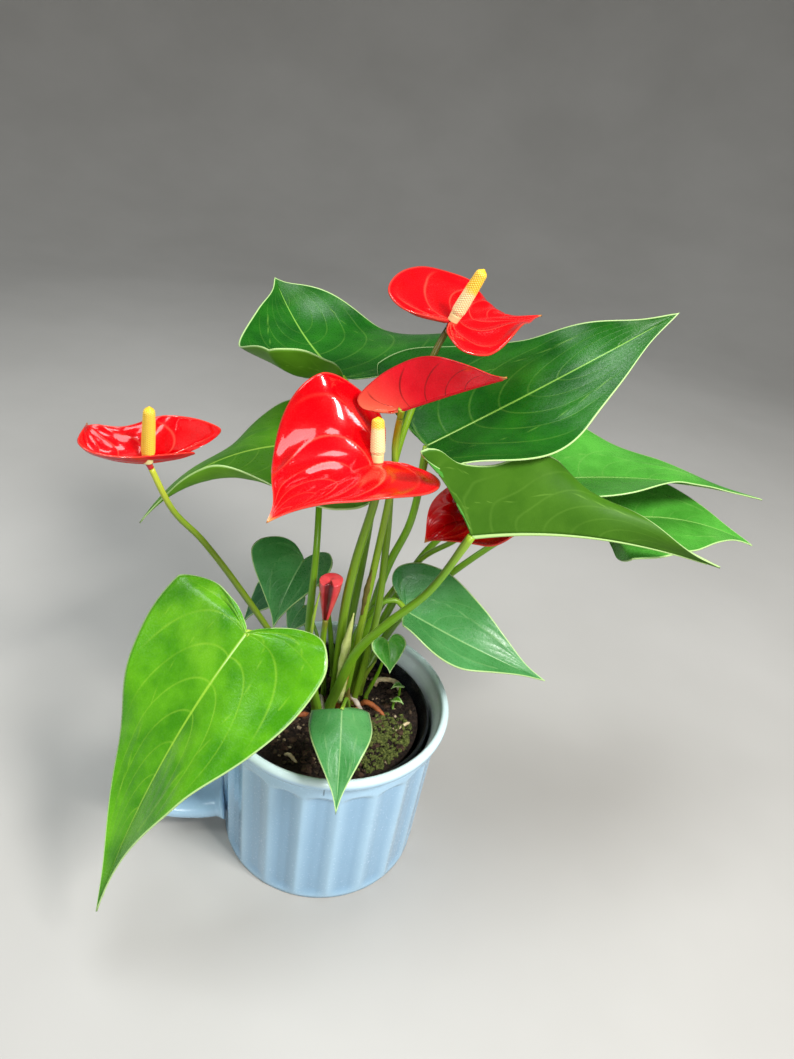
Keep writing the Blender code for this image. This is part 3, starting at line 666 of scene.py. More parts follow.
class Blade:
    """Turns a row share, a share out and a side into a point on the blade."""

    def __init__(self, joint, tip, width, arch, wave, quilt, rows, outline=LEAF_OUTLINE,
                 roll=0, sway=0, fold=((0,), (0,)), curl=((0,), (0,)), lobes=(1.0, 1.0),
                 widths=(1.0, 1.0), vein_count=LEAF_VEINS, vein_arch=LEAF_ARCH, ridge=BASAL_RIDGE):
        self.joint = Vector(joint) * MM
        self.along = Vector(tip) * MM - self.joint
        self.length = self.along.length
        self.along /= self.length
        up = Vector((0, 0, 1))
        up = (up - self.along * up.dot(self.along)).normalized()
        turn = Matrix.Rotation(math.radians(roll), 3, self.along)
        self.left = turn @ up.cross(self.along)
        self.up = turn @ up
        self.edge = spline([(x, y, 0) for x, y in outline], rows)
        self.rows = rows
        self.width, self.arch, self.sway = width, arch, sway
        self.fold, self.curl, self.lobes, self.widths = fold, curl, lobes, widths
        self.wave, self.quilt, self.ridge = wave, quilt, ridge
        self.vein_count, self.vein_arch = vein_count, vein_arch

    def relief(self, share, out, side):
        """Quilting between the veins, and ripples that grow towards the margin."""
        phase = self.vein_count * share / (1 + self.vein_arch * out ** ARCH_POWER)
        swell = abs(math.sin(math.pi * phase)) ** 0.7
        inner = smooth(0.0, 0.35, out) * smooth(1.0, 0.8, out)
        ripple = sum(height * math.sin(2 * math.pi * (count * share + start + shift * side))
                     for count, start, shift, height in RIPPLES)
        groove = GROOVE_DEPTH * math.exp(-(out * GROOVE_SHARPNESS) ** 2)
        fade = smooth(1.0, 0.6, share) * smooth(0.0, 0.06, share)
        return self.quilt * swell * inner * fade + self.wave * out ** 2 * ripple * fade - groove

    def point(self, row, out, side):
        share = row / self.rows
        rim = self.edge[row]
        rib = max(0.0, (share - MIDRIB_START) / (1 - MIDRIB_START)) ** MIDRIB_EASE
        x = rib + (rim.x - rib) * out
        half = 0 if side > 0 else 1
        reach = rim.y * out * self.width * MM / 2 * self.widths[half]
        across = rise = 0.0
        for step in range(CURL_STEPS):
            part = (step + 0.5) / CURL_STEPS * out
            angle = math.radians(blend(self.fold[half], x) + blend(self.curl[half], x) * part ** 2)
            across += math.cos(angle) * reach / CURL_STEPS
            rise += math.sin(angle) * reach / CURL_STEPS
        across *= side
        run = x * (self.lobes[half] if x < 0 else 1.0) * self.length
        rise += 4 * self.arch * MM * x * (1 - x) + self.relief(share, out, side) * MM
        across += 4 * self.sway * MM * x * (1 - x)
        return self.joint + self.along * run + self.left * across + self.up * rise

    def basal_tree(self, side):
        """Points along the half's basal veins, ready for a search for the nearest."""
        found = []
        for vein in BASAL_VEINS:
            for share, out, _ in spline([(*knot, 0) for knot in vein], BASAL_STEPS):
                found.append(self.point(min(max(round(share * self.rows), 0), self.rows), out, side))
        tree = KDTree(len(found))
        for k, place in enumerate(found):
            tree.insert(place, k)
        tree.balance()
        return tree

    def mesh(self, name, columns, thickness, top, under):
        """The blade as a closed skin with its finish, its UV map and its three measures."""
        bm = flat_grid(self.rows, 2 * columns)
        edge_mm, rib_mm, basal_mm = [bm.verts.layers.float.new(key) for key in MEASURES]
        trees = {side: self.basal_tree(side) for side in (1, -1)}
        for vert in bm.verts:
            row = round((vert.co.x + 0.5) * self.rows)
            out = abs(vert.co.y) * 2
            side = 1 if vert.co.y >= 0 else -1
            place = self.point(row, out, side)
            vert[edge_mm] = (self.point(row, 1.0, side) - place).length / MM
            vert[rib_mm] = (self.point(row, 0.0, side) - place).length / MM * max(1.0, RIB_WIDTH / self.width)
            off = trees[side].find(place)[2] / MM
            vert[basal_mm] = off
            vert.co = place + self.up * self.ridge * math.exp(-(off / BASAL_RIDGE_WIDTH) ** 2) * MM
        bmesh.ops.remove_doubles(bm, verts=bm.verts, dist=2 * WELD)
        sheet = new_object(name + "_sheet", mesh_from(bm, name, (top, under)))
        skin = sheet.modifiers.new("Thickness", "SOLIDIFY")
        skin.thickness = thickness
        skin.offset = 0
        skin.material_offset = 1
        solid = bpy.data.meshes.new_from_object(sheet.evaluated_get(bpy.context.evaluated_depsgraph_get()))
        bpy.data.objects.remove(sheet, do_unlink=True)
        return solid

    def rib(self, name, radius, top):
        """The raised midrib, a thin tapering tube that sits half in the blade."""
        first = math.ceil(MIDRIB_START * self.rows)
        drop = self.up * radius * RIB_SINK
        line = [self.point(row, 0.0, 1) - drop for row in range(first, self.rows - 2)]
        return tube(name, line, lambda v: radius * (1.0 - RIB_TAPER * v), RIB_SIDES, [top])


BLADE_KEYS = ("joint", "tip", "width", "outline", "roll", "arch", "sway", "fold", "curl", "lobes", "widths",
              "wave")


def blade(spec, **extra):
    """The blade of a leaf or flower, from those of its measures that shape the blade."""
    return Blade(**{key: spec[key] for key in BLADE_KEYS if key in spec}, **extra)


print("blade ready")

# %% [markdown]
# A petiole rises straight out of its hole in the soil, bends where it pleases, and ends
# in a slightly swollen knee just under the blade, which turns the leaf to the light.

# %% Leaves
# In mm: the soil's top, how deep a stem stands in it, and the stretch where it is upright
SOIL_TOP = 94
STEM_DEPTH = 14
UPRIGHT_BELOW = 3
UPRIGHT_ABOVE = 6
PETIOLE_TAPER = (1.35, 1.1, 0.88, 0.8)
PETIOLE_STEPS = 44
STEM_SIDES = 16
SMALL_LEAF = 45  # a blade narrower than this in mm gets a coarser, flatter grid
SMALL_GRID = (40, 8)
LEAF_GRID = (96, 22)
# How far the blade swells between its veins, in mm
SMALL_QUILT = 0.03
LEAF_QUILT = 0.2
LIME_QUILT = 0.45
LEAF_THICKNESS = 0.7 * MM
RIB_SHARE = 0.42  # a midrib's thickness as a share of the petiole's


def stem_line(foot, via, end, steps):
    """The frame's own centre line: upright in the soil, then through the via points."""
    heights = (SOIL_TOP - STEM_DEPTH, SOIL_TOP - UPRIGHT_BELOW, SOIL_TOP + UPRIGHT_ABOVE)
    points = [(*foot, height) for height in heights] + [*via, end]
    points = [Vector(point) * MM for point in points]
    return [points[0], points[1]] + spline(points[2:], steps)


def knee(share):
    """Extra thickness, as a share, where a petiole meets its blade."""
    return 0.16 * math.exp(-((share - 0.96) / 0.045) ** 2)


def leaf(name, spec):
    small = spec["width"] < SMALL_LEAF
    lime = spec["green"] == "lime"
    rows, columns = SMALL_GRID if small else LEAF_GRID
    shape = blade(spec, rows=rows, quilt=SMALL_QUILT if small else LIME_QUILT if lime else LEAF_QUILT)
    top = LEAF_TOPS[spec["green"]]
    under = LEAF_UNDERS[spec["green"]]
    green = STALKS["lime" if lime else "leaf"]
    radius = spec["radius"] * MM
    line = stem_line(spec["foot"], spec["via"], spec["joint"], PETIOLE_STEPS)
    petiole = tube(name + "_petiole", line, lambda v: radius * ramp(PETIOLE_TAPER, v) * (1 + knee(v)),
                   STEM_SIDES, [green])
    parts = [(shape.mesh(name, columns, LEAF_THICKNESS, top, under), 0),
             (shape.rib(name + "_rib", RIB_SHARE * radius, under), 1), (petiole, 2)]
    show("dressed_" + name, joined(name, parts, (top, under, green)), "leaf_green", name)


for leaf_name, leaf_spec in LEAVES.items():
    leaf(leaf_name, leaf_spec)

# %% [markdown]
# ## Flowers
#
# What looks like a petal is the spathe, a leaf turned into a flag: lacquered red, with
# veins that arch from the joint. The true flowers are the tiny bumps on the spadix, set
# in crossing spirals, cream while they ripen and yellow at the young end. A spathe that
# has just opened is still coral where it faced the bud, and its veins show as dark lines.

# %% Spathe and spadix finishes
SPATHE_VEINS = 8
TIP_TAN = (0.55, 0.22, 0.06)


def spathe(name, deep, bright, base, base_reach, vein_and_highlight_color, line_share, roughness, arch=SPATHE_ARCH):
    """Lacquered colour, with its base tint up to a share along, and its veins and margin in a line colour
    that is a painted highlight on the red top and a darker vein colour below.
    """
    surface, n, shader = finish(name, roughness, coat=0.8, coat_roughness=0.06, specular=0.12)
    pattern = veins(n, SPATHE_VEINS, 0.055, arch)
    soft = mottle(n, 70.0)
    color = n.mix(soft["Mask"], deep, bright)
    color = n.mix(n.band(pattern["Along"], base_reach, base_reach - 0.45), color, base)
    # Veins and margin in the line colour: painted highlights on the red top
    color = n.over(color, pattern["Vein"], line_share, vein_and_highlight_color)
    color = n.over(color, pattern["Margin"], 0.35, vein_and_highlight_color)
    paint(n, shader, n.mix(n.band(pattern["Along"], 0.965, 0.99), color, TIP_TAN))
    uneven_gloss(n, shader, soft["Grain"], roughness, roughness + 0.12)
    bump(n, shader, soft["Grain"], 0.25 * MM, 0.4)
    return surface


# The red top's paler red lines are painted highlights along the vein ridges and the margin
RED = spathe("spathe_red", (0.55, 0.0, 0.002), (0.72, 0.0, 0.004), (0.72, 0.004, 0.004), 0.25,
             (0.85, 0.10, 0.06), 0.5, 0.2)
RED_UNDER = spathe("spathe_red_under", (0.50, 0.004, 0.012), (0.62, 0.01, 0.02), (0.62, 0.03, 0.03), 0.4,
                   (0.35, 0.0, 0.01), 0.6, 0.28)
CORAL_UNDER = spathe("spathe_coral_under", (0.66, 0.003, 0.012), (0.78, 0.010, 0.022), (0.84, 0.20, 0.10),
                     0.48, (0.22, 0.01, 0.01), 0.9, 0.2, CORAL_ARCH)

CREAM = (0.86, 0.72, 0.36)
YELLOW = (0.90, 0.55, 0.015)
BRIGHT_YELLOW = (0.93, 0.58, 0.012)
# Painted light on the florets' tops and painted shade in the gaps between them
FLORET_TOP_LIGHT = (0.95, 0.9, 0.7)
FLORET_GAP_SHADE = (0.5, 0.28, 0.03)


def spadix_finish(name, split):
    """Cream florets below the split and yellow ones above it, with painted light on their tops and painted
    shade in the gaps.
    """
    surface, n, shader = finish(name, 0.45, specular=0.4)
    along = n.split(n.place("UV"))["Y"]
    edge = n.math("ADD", along, n.math("MULTIPLY", mottle(n, 400.0)["Mask"], 0.05))
    ripe = n.band(edge, split - 0.02, split + 0.1)
    color = n.mix(ripe, CREAM, YELLOW)
    # Painted light and shade by the florets' height: pale tops, darker gaps
    lit_tops = n.band(n.measure("floret"), 0.35, 0.95)
    color = n.mix(lit_tops, n.mix(0.35, color, FLORET_GAP_SHADE), n.mix(0.6, color, FLORET_TOP_LIGHT))
    paint(n, shader, n.mix(0.5, color, n.mix(ripe, CREAM, BRIGHT_YELLOW)))
    return surface


print("spathe finishes ready")

# %% [markdown]
# A flower is measured as a leaf is, with a spadix besides. Each spathe leans, folds and
# curls its own way, and its width also sets how high its ridges stand.

# %% Flower measures
FLOWERS = {
    "flower_centre": dict(
        joint=(7, -5, 272), tip=(-35, -65, 264), width=98, roll=-19, arch=2,
        fold=((30, 35, 43), (25, -13, 8)), curl=((-27, -10, 24), (-3, -35, -5)),
        lobes=(0.6, 0.85), widths=(0.78, 1.06),
        spadix=(4, 0, 294), spadix_radius=3.7,
        foot=(-1, 9), via=((-1, 7, 165), (2, 5, 205), (8, 2, 248)), radius=2.7, spike=0.68),
    "flower_top": dict(
        joint=(33, 45, 334), tip=(83, 86, 334), width=73, roll=12, arch=-1, sway=3,
        fold=((12, 9, -73), (-3, 19, 0)), curl=((0, 12, -11), (0, 7, 0)),
        lobes=(1.4, 0.7), widths=(1.14, 0.85),
        spadix=(44, 43, 362), spadix_radius=3.6,
        foot=(12, 10), via=((18, 9, 165), (17, 17, 215), (15, 23, 262), (25, 38, 312)), radius=2.1,
        spike=0.5),
    "flower_left": dict(
        joint=(-104, -20, 260), tip=(-140, -5, 268), width=49, roll=3, arch=0, sway=16,
        fold=((26, 33, 18), (50, 26, 54)), curl=((9, 4, 4), (0, -5, 8)),
        lobes=(0.7, 0.85), widths=(0.5, 1.12),
        spadix=(-100, -26.5, 292), spadix_radius=3.3,
        foot=(-13, 6), via=((-57, 0, 172), (-79, -8, 210), (-94, -14, 231)), radius=1.9,
        spike=-0.2, stalk="left"),
    "flower_coral": dict(
        joint=(15, 0, 300), tip=(58, -31, 334), width=45, roll=-11, arch=1, sway=3,
        fold=((34, 48, 50), (92, 85, 74)), curl=((0,), (4, 3, 2)),
        lobes=(0.6, 1.17), widths=(0.65, 0.95), collar=6,
        spadix=(21.5, 7.5, 313), spadix_radius=2.2,
        foot=(6, 6), via=((15, 9, 244), (14, 9, 278)), radius=2.1, spike=0.4, red="coral", stalk="coral"),
    "flower_low": dict(
        joint=(67, 35, 226), tip=(38, 12, 220), width=78, roll=-29, arch=3, sway=-4,
        fold=((45, 33, 30), (20, 60, 3)), curl=((16, 3, 0), (0, 25, -20)),
        lobes=(1.3, 1.0), widths=(1.0, 1.1),
        spadix=(59, 30, 242), spadix_radius=2.8,
        foot=(5, 30), via=((17, 46, 140), (38, 58, 177), (57, 43, 206)), radius=1.9, spike=0.5),
}
print("flowers:", len(FLOWERS))

# %% [markdown]
# The florets are real relief. On the unrolled spadix they lie on two families of lines
# that cross, like the scales of a pine cone, so the height is the product of two waves.
# The mesh carries that height, so that the finish can paint light on the florets' tops and shade in the gaps
# between them.

# %% Spadix
FLORET_SINK = 0.22 * MM
FLORET_HEIGHT = 0.33 * MM
FLORET_PITCH = 1.25 * MM
FLORET_SPIRALS = 5
SPADIX_TAPER = (1.0, 1.0, 0.97, 0.93, 0.88, 0.8)
SPADIX_ROWS = 130
SPADIX_SIDES = 80


def floret_wave(u, along):
    """From 0 in the gaps to 1 on a floret, along is in metres."""
    turn = FLORET_SPIRALS * 2 * math.pi * u
    rise = math.pi * along / FLORET_PITCH
    return abs(math.cos(turn + rise) * math.cos(turn - rise))


SPADIX_FOOT = spadix_finish("spadix_foot", 2.0)  # a split past the end keeps it all cream


def spadix(name, start, top, radius, split):
    length = (top - start).length
    line = [start.lerp(top, k / SPADIX_ROWS) for k in range(SPADIX_ROWS + 1)]

    def radius_at(v):
        tip = math.sqrt(max(0.0, 1 - smooth(0.86, 1.0, v) ** 2 * 0.93))
        foot = 0.86 + 0.14 * smooth(0.0, 0.08, v)
        return radius * ramp(SPADIX_TAPER, v) * tip * foot - FLORET_SINK

    def bumps(u, v):
        return FLORET_HEIGHT * floret_wave(u, v * length) * smooth(1.0, 0.93, v)

    mesh = tube(name, line, radius_at, SPADIX_SIDES, [spadix_finish(name + "_florets", split)], bumps)
    layer = mesh.attributes.new("floret", "FLOAT", "POINT")
    for vert in mesh.vertices:
        share = (vert.co - start).dot((top - start).normalized()) / length
        out = (vert.co - start.lerp(top, share)).length
        base = radius_at(min(max(share, 0.0), 1.0))
        layer.data[vert.index].value = (out - base) / FLORET_HEIGHT
    return mesh


print("spadix ready")

# %% [markdown]
# The stem ends a hair below the collar, as the frame's does, and the collar and the foot
# of the spadix close the joint from both sides. Together with the midrib they are one
# piece with the spathe.

# %% Flowers
COLLAR_LENGTH = 4
GAP = 0.3 * MM  # between a stem, its spathe and its spadix, as in the frame
STEM_TAPER = (1.0, 1.0, 0.8)
SCAPE_STEPS = 60
SPATHE_THICKNESS = 0.9 * MM
SPATHE_GRID = (120, 34)
# Ridges and ripples in mm on a spathe as wide as the centre one
SPATHE_WIDTH = 98
SPATHE_RIDGES = 1.9
SPATHE_WAVE = 0.6
# Radius of the spadix's foot as a share of the spadix, slim where the spathe hides it
FOOT_SHARE = 0.78
CORAL_FOOT_SHARE = 0.2


def flower(name, spec):
    joint = Vector(spec["joint"]) * MM
    line = stem_line(spec["foot"], spec["via"], spec["joint"], SCAPE_STEPS)
    rise = (line[-1] - line[-2]).normalized()
    collar = spec.get("collar", COLLAR_LENGTH) * MM
    while (line[-1] - joint).length < collar + GAP:
        line.pop()
    line.append(joint - rise * (collar + GAP))
    radius = spec["radius"] * MM
    green = STALKS[spec.get("stalk", "flower")]
    stem = tube(name + "_stem", line, lambda v: radius * ramp(STEM_TAPER, v), STEM_SIDES, [green])
    show("dressed_" + name + "_stem", stem, "stalk_green", name + "_stem")

    coral = spec.get("red") == "coral"
    under = CORAL_UNDER if coral else RED_UNDER
    size = spec["width"] / SPATHE_WIDTH
    rows, columns = SPATHE_GRID
    shape = blade(spec, outline=HEART_OUTLINE, rows=rows, quilt=-SPATHE_RIDGES * size,
                  wave=SPATHE_WAVE * size, vein_count=SPATHE_VEINS,
                  vein_arch=CORAL_ARCH if coral else SPATHE_ARCH, ridge=0.0)
    spike_top = Vector(spec["spadix"]) * MM
    spike_radius = spec["spadix_radius"] * MM
    lean = (spike_top - joint).normalized()
    seat = spline([joint - rise * collar, joint], 8)
    neck = tube(name + "_collar", seat, lambda v: radius * (0.8 + 0.1 * v), STEM_SIDES, [under])
    seat = spline([joint, joint + lean * collar], 8)
    foot_share = CORAL_FOOT_SHARE if coral else FOOT_SHARE
    foot = tube(name + "_spadix_foot", seat, lambda v: spike_radius * (foot_share + 0.08 * v), 24,
                [SPADIX_FOOT])
    parts = [(shape.mesh(name, columns, SPATHE_THICKNESS, RED, under), 0),
             (shape.rib(name + "_rib", 0.8 * MM, under), 1), (neck, 3 if coral else 1), (foot, 2)]
    show("dressed_" + name + "_spathe", joined(name, parts, (RED, under, SPADIX_FOOT, green)), "spathe_red",
         name + "_spathe")

    spike = spadix(name + "_spadix", joint + lean * (collar + GAP), spike_top, spike_radius, spec["spike"])
    show("dressed_" + name + "_spadix", spike, "spadix_yellow", name + "_spadix")


for flower_name, flower_spec in FLOWERS.items():
    flower(flower_name, flower_spec)

# %% [markdown]
# ## Bud, bracts and roots
#
# The sixth flower is still a rolled spathe. Where its outer edge ends, the section is
# drawn in and painted near black as the shade inside a slit, and its mouth is closed.

# %% Bud
BUD_FOOT = (-8, 13)
BUD_STEM_RADIUS = 1.8 * MM
BUD_ROUTE = ((-11, 6, 140), (-11, 4, 163), (-10, 2, 193))
BUD_RADII = (1.9, 3.3, 4.7, 5.9, 6.6)
BUD_MOUTH = ((1.0, 6.0), (1.0, 4.6), (0.99, 3.0), (0.985, 1.5), (0.98, 0.0))
BUD_SLIT = 0.74  # share of a turn at which the rolled edge ends
BUD_TILT = 0.9  # mm by which the middle of the mouth is below its right edge


def bud_finish():
    surface, n, shader = finish("bud_pink", 0.3, coat=0.3)
    soft = mottle(n, 90.0)
    color = n.mix(soft["Mask"], (0.66, 0.03, 0.045), (0.80, 0.10, 0.11))
    # The slit is painted shade: near black red in a band where the rolled edge ends
    off = n.math("ABSOLUTE", n.math("SUBTRACT", n.split(n.place("UV"))["X"], BUD_SLIT))
    paint(n, shader, n.mix(n.band(off, 0.09, 0.05), color, (0.13, 0.0, 0.004)))
    bump(n, shader, soft["Grain"], 0.2 * MM, 0.4)
    return surface


def bud():
    """A stem with a rolled spathe on it: up its outside and over its blunt top."""
    bend, base, top = BUD_ROUTE
    line = stem_line(BUD_FOOT, [bend], base, 30)
    stem = tube("bud_stem", line, lambda v: BUD_STEM_RADIUS, STEM_SIDES, [STALKS["flower"]])
    show("dressed_flower_bud_stem", stem, "stalk_green", "flower_bud_stem")
    ahead = (line[-1] - line[-2]).normalized()
    start = Vector(base) * MM + ahead * GAP
    axis = Vector(top) * MM - start
    length = axis.length
    axis.normalize()
    side = (Vector((1, 0, 0)) - axis * axis.x).normalized()
    back = axis.cross(side)
    profile = [(0.0, 0.0)] + [(k / 40, ramp(BUD_RADII, k / 40)) for k in range(41)] + [*BUD_MOUTH]
    last = len(profile) - 1

    def place(u, v):
        row = round(v * last)
        share, radius = profile[row]
        turn = 2 * math.pi * u
        fold = math.exp(-((u - BUD_SLIT) / 0.055) ** 2)
        radius *= 1 - 0.38 * fold * smooth(0.1, 0.5, share)
        lift = BUD_TILT * share * math.cos(turn) if row > 1 else 0.0
        around = side * math.cos(turn) + back * math.sin(turn)
        return start + axis * (share * length + (lift - BUD_TILT * share) * MM) + around * radius * MM

    mesh = bent_grid("bud", 64, last, place, [bud_finish()])
    show("dressed_flower_bud", mesh, "spathe_red", "flower_bud")


bud()
print("bud placed")

# %% [markdown]
# Bracts are dry or green points that once wrapped a young stalk, and the old crown pushes
# an ivory root in an arch through the soil's top. Both are tubes, with a dull dry finish.

# %% Bracts and root


def dry_finish(name, dark, light, roughness=0.6, scale=300.0):
    surface, n, shader = finish(name, roughness, specular=0.3)
    soft = mottle(n, scale, 0.3, 0.7)
    paint(n, shader, n.mix(soft["Mask"], dark, light))
    bump(n, shader, soft["Mask"], 0.4 * MM, 0.5)
    return surface


TAN = dry_finish("bract_tan", (0.30, 0.08, 0.015), (0.62, 0.24, 0.06))
IVORY = dry_finish("root_ivory", (0.50, 0.36, 0.18), (0.80, 0.70, 0.46))
RUST = dry_finish("root_rust", (0.20, 0.05, 0.015), (0.42, 0.13, 0.04))
GREY_ROOT = dry_finish("root_grey", (0.36, 0.31, 0.25), (0.62, 0.55, 0.47))

BRACT_TAPER = (1.0, 1.0, 0.95, 0.7, 0.15)
BRACT_SIDES = 14


def bract(name, foot, bend, tip, radius, surface, slot):
    line = stem_line(foot, [bend], tip, 30)
    mesh = tube(name, line, lambda v: radius * ramp(BRACT_TAPER, v) * MM, BRACT_SIDES, [surface])
    show("dressed_" + name, mesh, slot, name)


bract("bract_green", (15, 20), (17, 16, 116), (22, 12, 131), 1.7, STALKS["bract"], "stalk_green")
bract("bract_tan", (4.5, 12), (4.5, 12, 108), (6, 9, 122), 1.5, TAN, "bract_tan")

ROOT_FEET = ((24, 31), (39, 32))
ROOT_CREST = ((26, 31, 99.5), (32, 30, 101.5), (37, 31, 99.5))
ROOT_RISE = 3
ROOT_RADIUS = 1.5 * MM


def aerial_root():
    """An arch between two holes in the soil, a little knobbly."""
    low, high = [[Vector((*foot, height)) for foot in ROOT_FEET]
                 for height in (SOIL_TOP - STEM_DEPTH, SOIL_TOP + ROOT_RISE)]
    arch = spline([high[0], *ROOT_CREST, high[1]], 40)
    line = [point * MM for point in (low[0], *arch, low[1])]
    mesh = tube("aerial_root", line, lambda v: ROOT_RADIUS * (1 + 0.08 * math.sin(38 * v)), 14, [IVORY])
    show("dressed_aerial_root", mesh, "root_ivory", "aerial_root")


aerial_root()
print("bracts and root placed")

# %% [markdown]
# Small remains of older growth fill the crown: pale and olive sheaths that hug the
# stems, orange stubs of cut stalks, and thin roots that dip in and out of the soil.
# Each is a short tube whose radius changes along it.

# %% Crown


def crown_piece(name, points, radii, surface, slot):
    """A small root, sheath or stub through points in mm, with radii in mm along it."""
    line = spline([Vector(point) * MM for point in points], 24)
    mesh = tube(name, line, lambda v: ramp(radii, v) * MM * (1 + 0.07 * math.sin(31 * v)), 12, [surface])
    show(name, mesh, slot)


SHEATH = dry_finish("sheath_pale", (0.42, 0.50, 0.12), (0.62, 0.66, 0.28), 0.45, 200.0)
OLIVE_SHEATH = dry_finish("sheath_olive", (0.10, 0.09, 0.015), (0.20, 0.15, 0.03), 0.5, 200.0)
ORANGE = dry_finish("stub_orange", (0.42, 0.10, 0.02), (0.70, 0.26, 0.07), 0.5, 250.0)
# Each is a finish with its slot, and the points and radii of the pieces that have it
CROWN = (
    (SHEATH, "stalk_green", {
        "sheath_centre": (((4, 2, 104), (3, 1, 126), (3, 1, 146), (5, 2, 172)), (3.0, 3.2, 2.6, 0.3))}),
    (OLIVE_SHEATH, "bract_tan", {
        "sheath_olive": (((10, 7, 168), (10.5, 7, 186), (12.6, 7, 207)), (1.5, 1.9, 0.2)),
        "sheath_foot": (((7, 1, 93), (7.5, 0, 104), (8.5, -1, 118)), (3.2, 2.8, 0.3))}),
    (ORANGE, "bract_tan", {
        "stub_orange": (((5, 7, 92), (5.5, 5, 97), (6, 4, 104)), (4.2, 4.0, 1.2)),
        "stub_orange_low": (((12, 3, 92), (13, 2, 96), (15, 1, 100)), (3.0, 2.6, 0.8))}),
    (TAN, "bract_tan", {
        "spike_tan": (((4, 5, 104), (5, 4, 116), (7.5, 3, 131)), (1.8, 1.4, 0.2))}),
    (GREY_ROOT, "root_ivory", {
        "root_grey": (((8.5, 13, 93), (10, 11, 100), (14, 7, 99), (18.6, 5, 93)), (1.7, 1.8, 1.6, 1.2)),
        "root_grey_left": (((-10, 10, 93), (-9, 8, 98), (-7, 3, 98), (-5, 0, 93)), (1.5, 1.7, 1.5, 1.2))}),
    (RUST, "root_ivory", {
        "root_rust": (((16, 12, 93), (20, 10, 98), (27, 7, 97), (34, 4, 93)), (1.7, 1.8, 1.5, 1.0)),
        "root_rust_low": (((-14, -4, 93), (-17, -8, 97), (-23, -10, 96), (-28, -15, 93)),
                          (1.5, 1.6, 1.4, 1.0))}),
    (IVORY, "root_ivory", {
        "root_pale_front": (((-22, -38, 93), (-18.5, -40, 95.5), (-14, -43, 93)), (1.0, 1.2, 0.9)),
        "root_pale_right": (((42, -4, 93), (46, -1, 95.5), (49, 3, 93)), (0.9, 1.1, 0.8))}),
    (STALKS["bract"], "stalk_green", {
        "bract_thin": (((-17.5, -3, 150), (-17.2, -2.4, 168), (-15, 0, 188)), (0.9, 0.9, 0.2))}),
)
for surface, slot, crown_pieces in CROWN:
    for piece_name, (points, radii) in crown_pieces.items():
        crown_piece(piece_name, points, radii, surface, slot)
print("crown pieces:", sum(len(crown_pieces) for _, _, crown_pieces in CROWN))

# %% [markdown]
# ## The mug pot
#
# The mug pot was cast in a mould and dipped in pale blue glaze. Twenty concave flutes
# run up the wall to a plain band, and meet in soft edges that catch the light. The glaze
# is thin on the rim, so the rim and the inside look almost white, and their colour is
# lighter still as painted light. The hollows of the flutes are darker, as glaze that pools
# and as painted shade. The wall is a profile turned about Z, drawn in along each flute.
# Bending one grid does both at once.

# %% Mug pot
FOOT_RADIUS = 63.5
WALL_TOP_RADIUS = 66.4
BAND_BOTTOM = 97
FLUTES = 20
FLUTE_DEPTH = 2
FLUTE_PHASE = math.radians(-86)
POT_FOOT = [(0, 0), (30, 0), (FOOT_RADIUS - 6, 0), (FOOT_RADIUS - 2, 0), (FOOT_RADIUS - 0.6, 0.5),
            (FOOT_RADIUS, 2.5)]
# The rim from its underside over its top, then the inside down to the middle of the floor
POT_RIM = [(67.4, 103), (69.2, 104.6), (70.3, 106.2), (70.9, 108), (70.8, 109.8), (70, 111.2), (68.7, 112),
           (67.4, 111.9), (66.5, 111.1), (66.1, 109.6), (65.9, 108), (65.2, 105.6), (64, 103.8), (63.2, 102),
           (62.4, 99.4), (61.9, 97), (61, 70), (59.8, 40), (58.8, 18), (58.2, 12), (57.4, 8.8), (56, 7.4),
           (53, 7), (30, 7), (0, 7)]
POT_SIDES = 320


def flute(angle, height):
    """How far the wall is drawn in at an angle and a height, in mm."""
    turn = (FLUTES * (angle - FLUTE_PHASE) / (2 * math.pi) + 0.5) % 1.0
    across = 2 * turn - 1
    hollow = 1 - math.sqrt(across * across + 0.012)
    hollow = min(1.0, 1.45 * hollow) ** 0.9 if hollow > 0 else 0.0
    top = BAND_BOTTOM - 1.2 - 2.2 * across * across
    fade = smooth(top, top - 4.5, height) * smooth(0.5, 5.0, height)
    return FLUTE_DEPTH * hollow * fade


def pot_profile():
    """The pot's section, with rows close together where the flutes run out below the band."""
    foot, fine = POT_FOOT[-1][1], BAND_BOTTOM - 9
    heights = [foot + (fine - foot) * k / 24 for k in range(1, 25)]
    heights += [fine + 0.6 * k for k in range(1, 16)] + [98, 100, 102]
    outside = [(FOOT_RADIUS + (WALL_TOP_RADIUS - FOOT_RADIUS) * z / BAND_BOTTOM, z) for z in heights]
    return POT_FOOT + outside + POT_RIM


def turned(name, profile, sides, materials, drawn=None):
    """A profile of (radius, height) in mm turned about Z. drawn(angle, height) pulls it in."""
    last = len(profile) - 1

    def place(u, v):
        radius, height = profile[round(v * last)]
        angle = 2 * math.pi * u
        if drawn and radius > 0:
            radius -= drawn(angle, height)
        return Vector((radius * math.cos(angle), radius * math.sin(angle), height)) * MM

    return bent_grid(name, sides, last, place, materials)


# %% [markdown]
# The handle is an ear of oval section. Its route leaves the wall low, stands out and
# comes back just under the band. It widens where it meets the wall, so that the two look
# like one piece of clay.

# %% Handle
HANDLE_HEADING = math.radians(193)
HANDLE_ROUTE = ((64, 20), (82, 17), (103, 21), (117, 42), (115, 69), (100, 87), (82, 93), (64, 93))
HANDLE_WIDTH = 24
HANDLE_THICKNESS = 13


